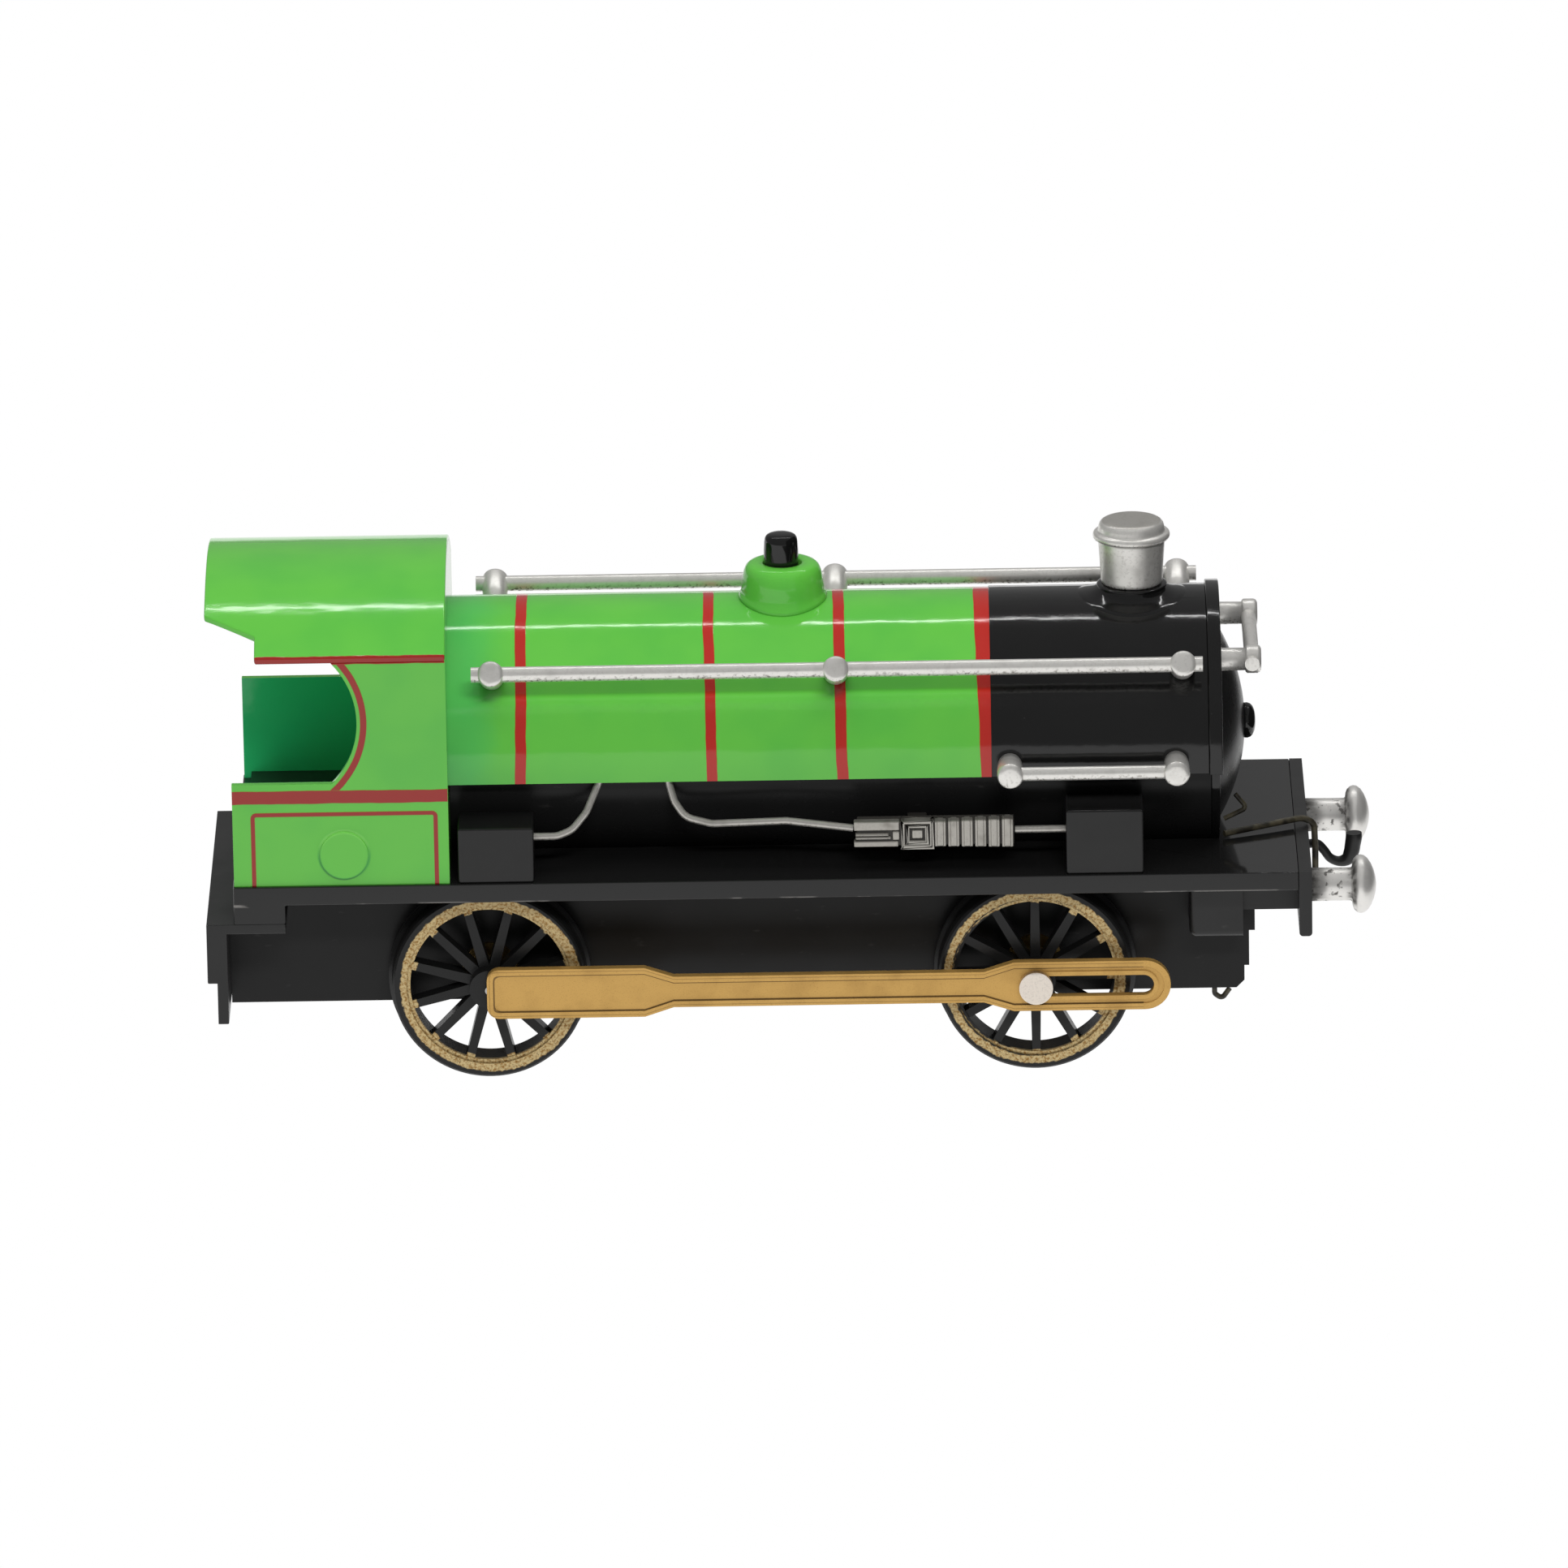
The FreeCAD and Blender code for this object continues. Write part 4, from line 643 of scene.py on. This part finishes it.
def flow(points, steps=6):
    """A smooth line through points, as numbers of the same length as each point."""
    ends = [points[0]] + list(points) + [points[-1]]
    line = []
    for before, start, end, after in zip(ends, ends[1:], ends[2:], ends[3:]):
        for step in range(steps):
            t = step / steps
            line.append(tuple(0.5 * (2 * b + (c - a) * t + (2 * a - 5 * b + 4 * c - d) * t ** 2
                                     + (3 * b - a - 3 * c + d) * t ** 3)
                              for a, b, c, d in zip(before, start, end, after)))
    line.append(tuple(points[-1]))
    return line


def circle(centre, along, radius, steps=64):
    """Points round a circle that faces along a direction."""
    axis = Vector(along).normalized()
    side = axis.cross(Vector((0, 1, 0)) if abs(axis.y) < 0.9 else Vector((1, 0, 0))).normalized()
    other = axis.cross(side)
    angles = [2 * math.pi * step / steps for step in range(steps)]
    return [Vector(centre) + (side * math.cos(angle) + other * math.sin(angle)) * radius
            for angle in angles]


def saddle(x, radius, lift, shell_radius, steps=64):
    """Points round a circle on top of the boiler, at a height above its surface."""
    points = circle((x, 0, 0), (0, 0, 1), radius, steps)
    for point in points:
        point.z = BOILER_Z / MM + math.sqrt((shell_radius / MM) ** 2 - point.y ** 2) + lift
    return points


class Shape:
    """A mesh built up from skinned rows, turned profiles, swept bars and boxes, in millimetres."""

    def __init__(self):
        self.mesh = bmesh.new()
        self.paint = 0

    def face(self, corners):
        """One face with the paint that is in use."""
        self.mesh.faces.new(corners).material_index = self.paint

    def skin(self, rows, hollow=False):
        """Skin rows of points. The ends are closed, or joined to each other for a hollow ring."""
        rings = [[self.mesh.verts.new(Vector(point) * MM) for point in row] for row in rows]
        if hollow:
            rings.append(rings[0])
        for first, second in zip(rings, rings[1:]):
            for index in range(len(first)):
                after = (index + 1) % len(first)
                self.face((first[index], first[after], second[after], second[index]))
        if not hollow:
            self.face(list(reversed(rings[0])))
            self.face(rings[-1])

    def turned(self, profile, start, along, hollow=False, steps=64):
        """A profile of (distance, radius) turned about an axis from a start point."""
        axis = Vector(along).normalized()
        self.skin([circle(Vector(start) + axis * distance, axis, radius, steps)
                   for distance, radius in profile], hollow)

    def swept(self, points, steps=16):
        """A round bar along points of (x, y, z, radius)."""
        rows = []
        for index, point in enumerate(points):
            behind, ahead = points[max(index - 1, 0)], points[min(index + 1, len(points) - 1)]
            rows.append(circle(point[:3], Vector(ahead[:3]) - Vector(behind[:3]), point[3], steps))
        self.skin(rows)

    def block(self, low_corner, high_corner):
        """A box between two corners."""
        (x0, y0, z0), (x1, y1, z1) = low_corner, high_corner
        self.skin([[(x0, y0, z), (x1, y0, z), (x1, y1, z), (x0, y1, z)] for z in (z0, z1)])

    def finish(self, name, materials, node, body="engine", edge=0.0):
        """Make the piece, let it ride on a body, and let it stand for a CAD node."""
        bmesh.ops.recalc_face_normals(self.mesh, faces=self.mesh.faces)
        for face in self.mesh.faces:
            face.smooth = True
        data = bpy.data.meshes.new(name)
        self.mesh.to_mesh(data)
        self.mesh.free()
        for material in materials:
            data.materials.append(material)
        thing = bpy.data.objects.new(name, data)
        bpy.context.collection.objects.link(thing)
        if edge:
            round_edges(thing, edge)
        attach(thing, body)
        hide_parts(node)


# Profiles below are pairs in millimetres: (distance along the axis, radius) for turned shapes,
# (radius, lift above the boiler) for saddles, and (radius, height above the rail) for level rings.

def dome_piece():
    """Dome with a soft flange that follows the cladding, open for the plug."""
    shape = Shape()
    x = middle("dome").x / MM
    rows = [saddle(x, radius, lift, CLAD_RADIUS) for radius, lift in (
        (8.0, -0.4), (8.25, 0.1), (8.3, 0.4), (8.2, 0.8), (7.95, 1.15))]
    for radius, z in ((7.75, 87.1), (7.7, 87.8), (7.62, 88.8), (7.45, 90.0), (7.2, 91.0), (6.85, 91.8),
                      (6.3, 92.3), (5.5, 92.55), (4.4, 92.6), (3.8, 92.55), (3.6, 92.3), (3.6, 84.5)):
        rows.append(circle((x, 0, z), (0, 0, 1), radius))
    shape.skin(rows, hollow=True)
    shape.finish("dome_soft", [MATERIALS["green"]], "dome")


PLUG_SHIFT = -0.2


def plug_piece():
    """Tapered plug with a rounded top, a little off the dome's middle."""
    shape = Shape()
    x = middle("filler_plug").x / MM + PLUG_SHIFT
    start = low("filler_plug").z / MM
    profile = [(0, 3.2), (9.0, 3.25), (11.0, 3.22), (12.6, 3.12), (13.3, 2.98), (13.7, 2.7), (13.95, 2.2),
               (14.08, 1.2), (14.1, 0.3)]
    shape.turned(profile, (x, 0, start), (0, 0, 1))
    shape.finish("plug_soft", [MATERIALS["gloss"]], "filler_plug", body="plug")


def chimney_base_piece():
    """Collar with a small bead, flaring softly on to the smokebox."""
    shape = Shape()
    x = middle("chimney_base").x / MM
    rows = [saddle(x, radius, lift, SHELL_RADIUS) for radius, lift in (
        (10.6, -0.3), (10.0, 0.05), (9.0, 0.16), (8.0, 0.34), (7.2, 0.6), (6.7, 0.85))]
    for radius, z in ((6.4, 86.85), (6.35, 86.95), (6.5, 87.05), (6.6, 87.2), (6.5, 87.38), (6.2, 87.5),
                      (5.6, 87.58), (4.3, 87.6), (4.3, 85.0)):
        rows.append(circle((x, 0, z), (0, 0, 1), radius))
    shape.skin(rows, hollow=True)
    shape.finish("chimney_base_soft", [MATERIALS["gloss"]], "chimney_base")


def chimney_piece():
    """Tapered silver chimney with a rounded foot."""
    shape = Shape()
    profile = [(0, 4.3), (0, 5.3), (0.1, 5.6), (0.4, 5.76), (1.0, 5.8), (3.0, 5.88), (6.0, 6.08),
               (8.2, 6.22), (8.6, 6.2), (8.7, 6.0), (8.7, 4.3)]
    shape.turned(profile, (middle("chimney").x / MM, 0, low("chimney").z / MM), (0, 0, 1), hollow=True)
    shape.finish("chimney_soft", [MATERIALS["silver"]], "chimney")


def cap_piece():
    """Cap with a thin rounded lip, a step and a rounded shoulder."""
    shape = Shape()
    profile = [(0, 3.8), (3.0, 3.8), (3.0, 6.7), (3.08, 7.0), (3.3, 7.16), (3.7, 7.2), (4.05, 7.1),
               (4.25, 6.85), (4.35, 6.5), (4.45, 6.3), (4.7, 6.2), (5.2, 6.15), (5.75, 6.0), (6.15, 5.7),
               (6.38, 5.3), (6.48, 4.8), (6.5, 4.0)]
    shape.turned(profile, (middle("chimney_cap").x / MM, 0, low("chimney_cap").z / MM), (0, 0, 1))
    shape.finish("cap_soft", [MATERIALS["cap"]], "chimney_cap", body="cap")


def knob_piece():
    """Low domed knob in the middle of the door."""
    shape = Shape()
    profile = [(-2.6, 1.1), (-2.4, 3.1), (-2.1, 3.3), (-1.6, 3.35), (-1.0, 3.15), (-0.55, 2.7), (-0.22, 2.0),
               (-0.05, 1.1), (0, 0.2)]
    shape.turned(profile, (high("door_knob").x / MM, 0, BOILER_Z / MM), (1, 0, 0))
    shape.finish("door_knob_soft", [MATERIALS["gloss"]], "door_knob")


POST_HEAD = [(-3.0, 2.36), (-2.0, 2.42), (1.2, 2.44), (1.6, 2.32), (1.86, 2.05), (2.0, 1.5)]
FRONT_POST = [(-6.0, 2.35), (-5.5, 2.15), (-1.3, 2.1), (-1.15, 2.45), (-0.9, 2.65), (1.0, 2.65),
              (1.45, 2.45), (1.7, 2.0)]
POST_LEAN = math.radians(22)
HIGH_POSTS_X, HIGH_POSTS_Y = (-55.2, 8.8, 73.2), 27.5
LOW_POSTS_X, LOW_POSTS_Y = (40.9, 71.8), 31.3
FRONT_POSTS_Y = 13.9


def posts_piece():
    """The handrails' posts: a neck on the boiler and a rounded head about each rail."""
    shape = Shape()
    low_z = low("side_handrails").z / MM + 1.3
    high_z = high("side_handrails").z / MM - 1.45
    for side in (-1, 1):
        for x in HIGH_POSTS_X:
            shape.turned([(-8.5, 2.3)] + POST_HEAD, (x, side * HIGH_POSTS_Y, high_z),
                         (0, side * math.cos(POST_LEAN), math.sin(POST_LEAN)), steps=40)
        for x in LOW_POSTS_X:
            shape.turned([(-7.0, 2.2)] + POST_HEAD, (x, side * LOW_POSTS_Y, low_z), (0, side, 0), steps=40)
    bar = middle("front_handrail") / MM
    for y in (-FRONT_POSTS_Y, FRONT_POSTS_Y):
        shape.turned(FRONT_POST, (bar.x, y, bar.z), (1, 0, 0), steps=40)
    shape.finish("posts_soft", [MATERIALS["silver"]], "handrail_posts")


def buffers_piece():
    """Buffers with rounded mushroom heads."""
    shape = Shape()
    front, bottom, top = high("buffers").x / MM, low("buffers") / MM, high("buffers") / MM
    z = (bottom.z + top.z) / 2
    radius = (top.z - bottom.z) / 2
    reach = front - bottom.x
    profile = [(-reach, 3.15), (-reach + 4, 3.1), (-4.75, 3.1), (-4.5, 3.3), (-4.4, 0.74 * radius),
               (-4.15, 0.86 * radius), (-3.6, 0.96 * radius), (-2.95, radius), (-2.3, 0.975 * radius),
               (-1.6, 0.88 * radius), (-0.95, 0.70 * radius), (-0.45, 0.49 * radius),
               (-0.12, 0.25 * radius), (0, 0.05 * radius)]
    for side in (-1, 1):
        shape.turned(profile, (front, side * (top.y - radius), z), (1, 0, 0))
    shape.finish("buffers_soft", [MATERIALS["buffer"]], "buffers")


def hook_piece():
    """Coupling hook: a bent bar that swells into a thick upright end."""
    shape = Shape()
    start = low("coupling_hook").x / MM
    points = flow([(start, 0, 35.3, 0.85), (98.6, 0, 35.3, 0.85), (99.9, 0, 34.0, 0.85),
                   (101.0, 0, 32.5, 0.85), (102.6, 0, 31.8, 0.95), (104.2, 0, 32.2, 1.25),
                   (105.0, 0, 33.6, 1.45), (105.3, 0, 35.2, 1.5), (105.5, 0, 36.5, 1.55),
                   (105.5, 0, 37.4, 1.5)])
    shape.swept(points, steps=24)
    shape.finish("hook_soft", [MATERIALS["satin"]], "coupling_hook", edge=0.3)


INJECTOR_Y, INJECTOR_Z = 27.5, 48.4
INJECTOR_RIBS = 6
RIBS_START = 15.0


def injectors_piece():
    """Injector castings: nested tapered bars, nested squares and ribs over a ground of painted shade."""
    shape = Shape()
    rear, front = low("injectors").x / MM, high("injectors").x / MM
    y, z = INJECTOR_Y, INJECTOR_Z

    def bar(side, x0, x1, out, z0, z1):
        """One raised bar, from the casting's middle out to a distance."""
        first, second = sorted((side * y, side * (y + out)))
        shape.block((x0, first, z + z0), (x1, second, z + z1))

    for side in (-1, 1):
        # The casting's ground and its stub carry the painted recess shade.
        shape.paint = 1
        first, second = sorted((side * (y - 2.2), side * (y + 1.7)))
        shape.block((rear + 0.6, first, z - 2.3), (front - 0.2, second, z + 2.3))
        inner, outer = sorted((side * 15.0, side * y))
        shape.block((rear + 10, inner, z - 1.2), (rear + 13.6, outer, z + 1.2))
        shape.paint = 0
        bar(side, rear, rear + 8.3, 2.0, -2.45, -1.3)
        bar(side, rear, rear + 8.5, 2.0, 0.75, 2.5)
        bar(side, rear + 0.3, rear + 6.9, 2.3, -0.9, -0.35)
        bar(side, rear + 0.3, rear + 6.5, 2.5, -0.2, 0.3)
        bar(side, rear + 7.2, rear + 8.5, 2.1, -1.1, 0.6)
        for z0, z1 in ((-2.6, -2.0), (2.0, 2.6)):
            bar(side, rear + 8.9, rear + 14.7, 2.4, z0, z1)
        for x0, x1 in ((8.9, 9.5), (14.1, 14.7)):
            bar(side, rear + x0, rear + x1, 2.4, -2.6, 2.6)
        for z0, z1 in ((-1.7, -1.2), (1.2, 1.7)):
            bar(side, rear + 9.9, rear + 13.7, 2.3, z0, z1)
        for x0, x1 in ((9.9, 10.4), (13.2, 13.7)):
            bar(side, rear + x0, rear + x1, 2.3, -1.7, 1.7)
        bar(side, rear + 10.8, rear + 12.8, 2.1, -0.85, 0.85)
        pitch = (front - rear - RIBS_START) / INJECTOR_RIBS
        for number in range(INJECTOR_RIBS):
            x = rear + RIBS_START + pitch * number
            swell = 0.08 * number
            bar(side, x, x + pitch - 0.35, 2.1 + swell / 2, -2.5 - swell / 2, 2.45 + swell)
            bar(side, x + 0.45, x + pitch - 0.8, 2.45 + swell / 2, -2.3 - swell / 2, 2.6 + swell)
    shape.finish("injectors_soft", [MATERIALS["casting"], MATERIALS["recess_shade"]], "injectors", edge=0.22)


dome_piece()
plug_piece()
chimney_base_piece()
chimney_piece()
cap_piece()
knob_piece()
posts_piece()
buffers_piece()
hook_piece()
injectors_piece()


# --- Studio -------------------------------------------------------------------------------------

def aim(thing, target):
    """Turn a light or camera to look at a point."""
    thing.rotation_euler = (Vector(target) - thing.location).to_track_quat("-Z", "Y").to_euler()


def area_light(name, at, target, width, depth, power, mirrored=True):
    """A rectangular soft light, which glossy surfaces may or may not mirror."""
    data = bpy.data.lights.new(name, "AREA")
    data.shape = "RECTANGLE"
    data.size = width
    data.size_y = depth
    data.energy = power
    thing = bpy.data.objects.new(name, data)
    bpy.context.collection.objects.link(thing)
    thing.location = at
    aim(thing, target)
    thing.visible_glossy = mirrored


FLAG_NEAR, FLAG_FAR, FLAG_TOP, FLAG_HALF = 0.19, 1.2, 1.4, 1.6


def black_flag():
    """A black card ahead of the engine that only glossy surfaces mirror."""
    corners = [(FLAG_FAR, -FLAG_HALF, 0), (FLAG_FAR, FLAG_HALF, 0), (FLAG_FAR, FLAG_HALF, FLAG_TOP),
               (FLAG_FAR, -FLAG_HALF, FLAG_TOP), (FLAG_NEAR, -FLAG_HALF, 0), (FLAG_NEAR, FLAG_HALF, 0)]
    flag = bpy.data.objects.new("flag", bpy.data.meshes.new("flag"))
    flag.data.from_pydata(corners, [], [(0, 1, 2, 3), (0, 1, 5, 4)])
    flag.data.materials.append(MATERIALS["satin"])
    bpy.context.collection.objects.link(flag)
    flag.visible_camera = False
    flag.visible_shadow = False


def studio():
    """Pale glowing floor, soft lights and a dim even sky."""
    bpy.ops.mesh.primitive_plane_add(size=14, location=(0, 2.5, -0.0002))
    floor = bpy.context.object
    floor.name = "floor"
    white = Surface("floor_white", roughness=1.0)
    white.colour((0, 0, 0, 1))
    white.shader.inputs["Specular IOR Level"].default_value = 0.0
    white.shader.inputs["Emission Color"].default_value = (1, 1, 1, 1)
    white.shader.inputs["Emission Strength"].default_value = 1.0
    floor.data.materials.append(white.material)
    centre = (0, 0, 0.05)
    area_light("overhead", (0.1, -0.25, 1.6), centre, 1.8, 1.0, 18, mirrored=False)
    area_light("front", (0.25, -1.95, 1.5), centre, 0.9, 0.22, 35, mirrored=False)
    area_light("strip", (0, 0.62, 1.35), centre, 1.6, 0.022, 3.2)
    area_light("behind", (0, 2.0, 1.6), centre, 2.5, 0.8, 14, mirrored=False)
    black_flag()
    world = bpy.data.worlds.new("studio")
    world.use_nodes = True
    world.node_tree.nodes["Background"].inputs["Color"].default_value = (1, 1, 1, 1)
    world.node_tree.nodes["Background"].inputs["Strength"].default_value = 0.25
    bpy.context.scene.world = world
    bpy.context.scene.view_settings.view_transform = "Standard"


CAMERA_LENS = 391.04
CAMERA_PLACE = (0.01485, -3.0266, 1.0673)
CAMERA_TURN = (71.39754, 0.91906, -0.00413)


def camera():
    """A long lens from far away, 18.6 degrees above the engine's side, which keeps it almost square-on."""
    data = bpy.data.cameras.new("camera")
    data.sensor_width = 36
    data.lens = CAMERA_LENS
    thing = bpy.data.objects.new("camera", data)
    bpy.context.collection.objects.link(thing)
    turn = Euler([math.radians(angle) for angle in CAMERA_TURN])
    thing.matrix_world = Matrix.Translation(CAMERA_PLACE) @ turn.to_matrix().to_4x4()
    bpy.context.scene.camera = thing


studio()
camera()
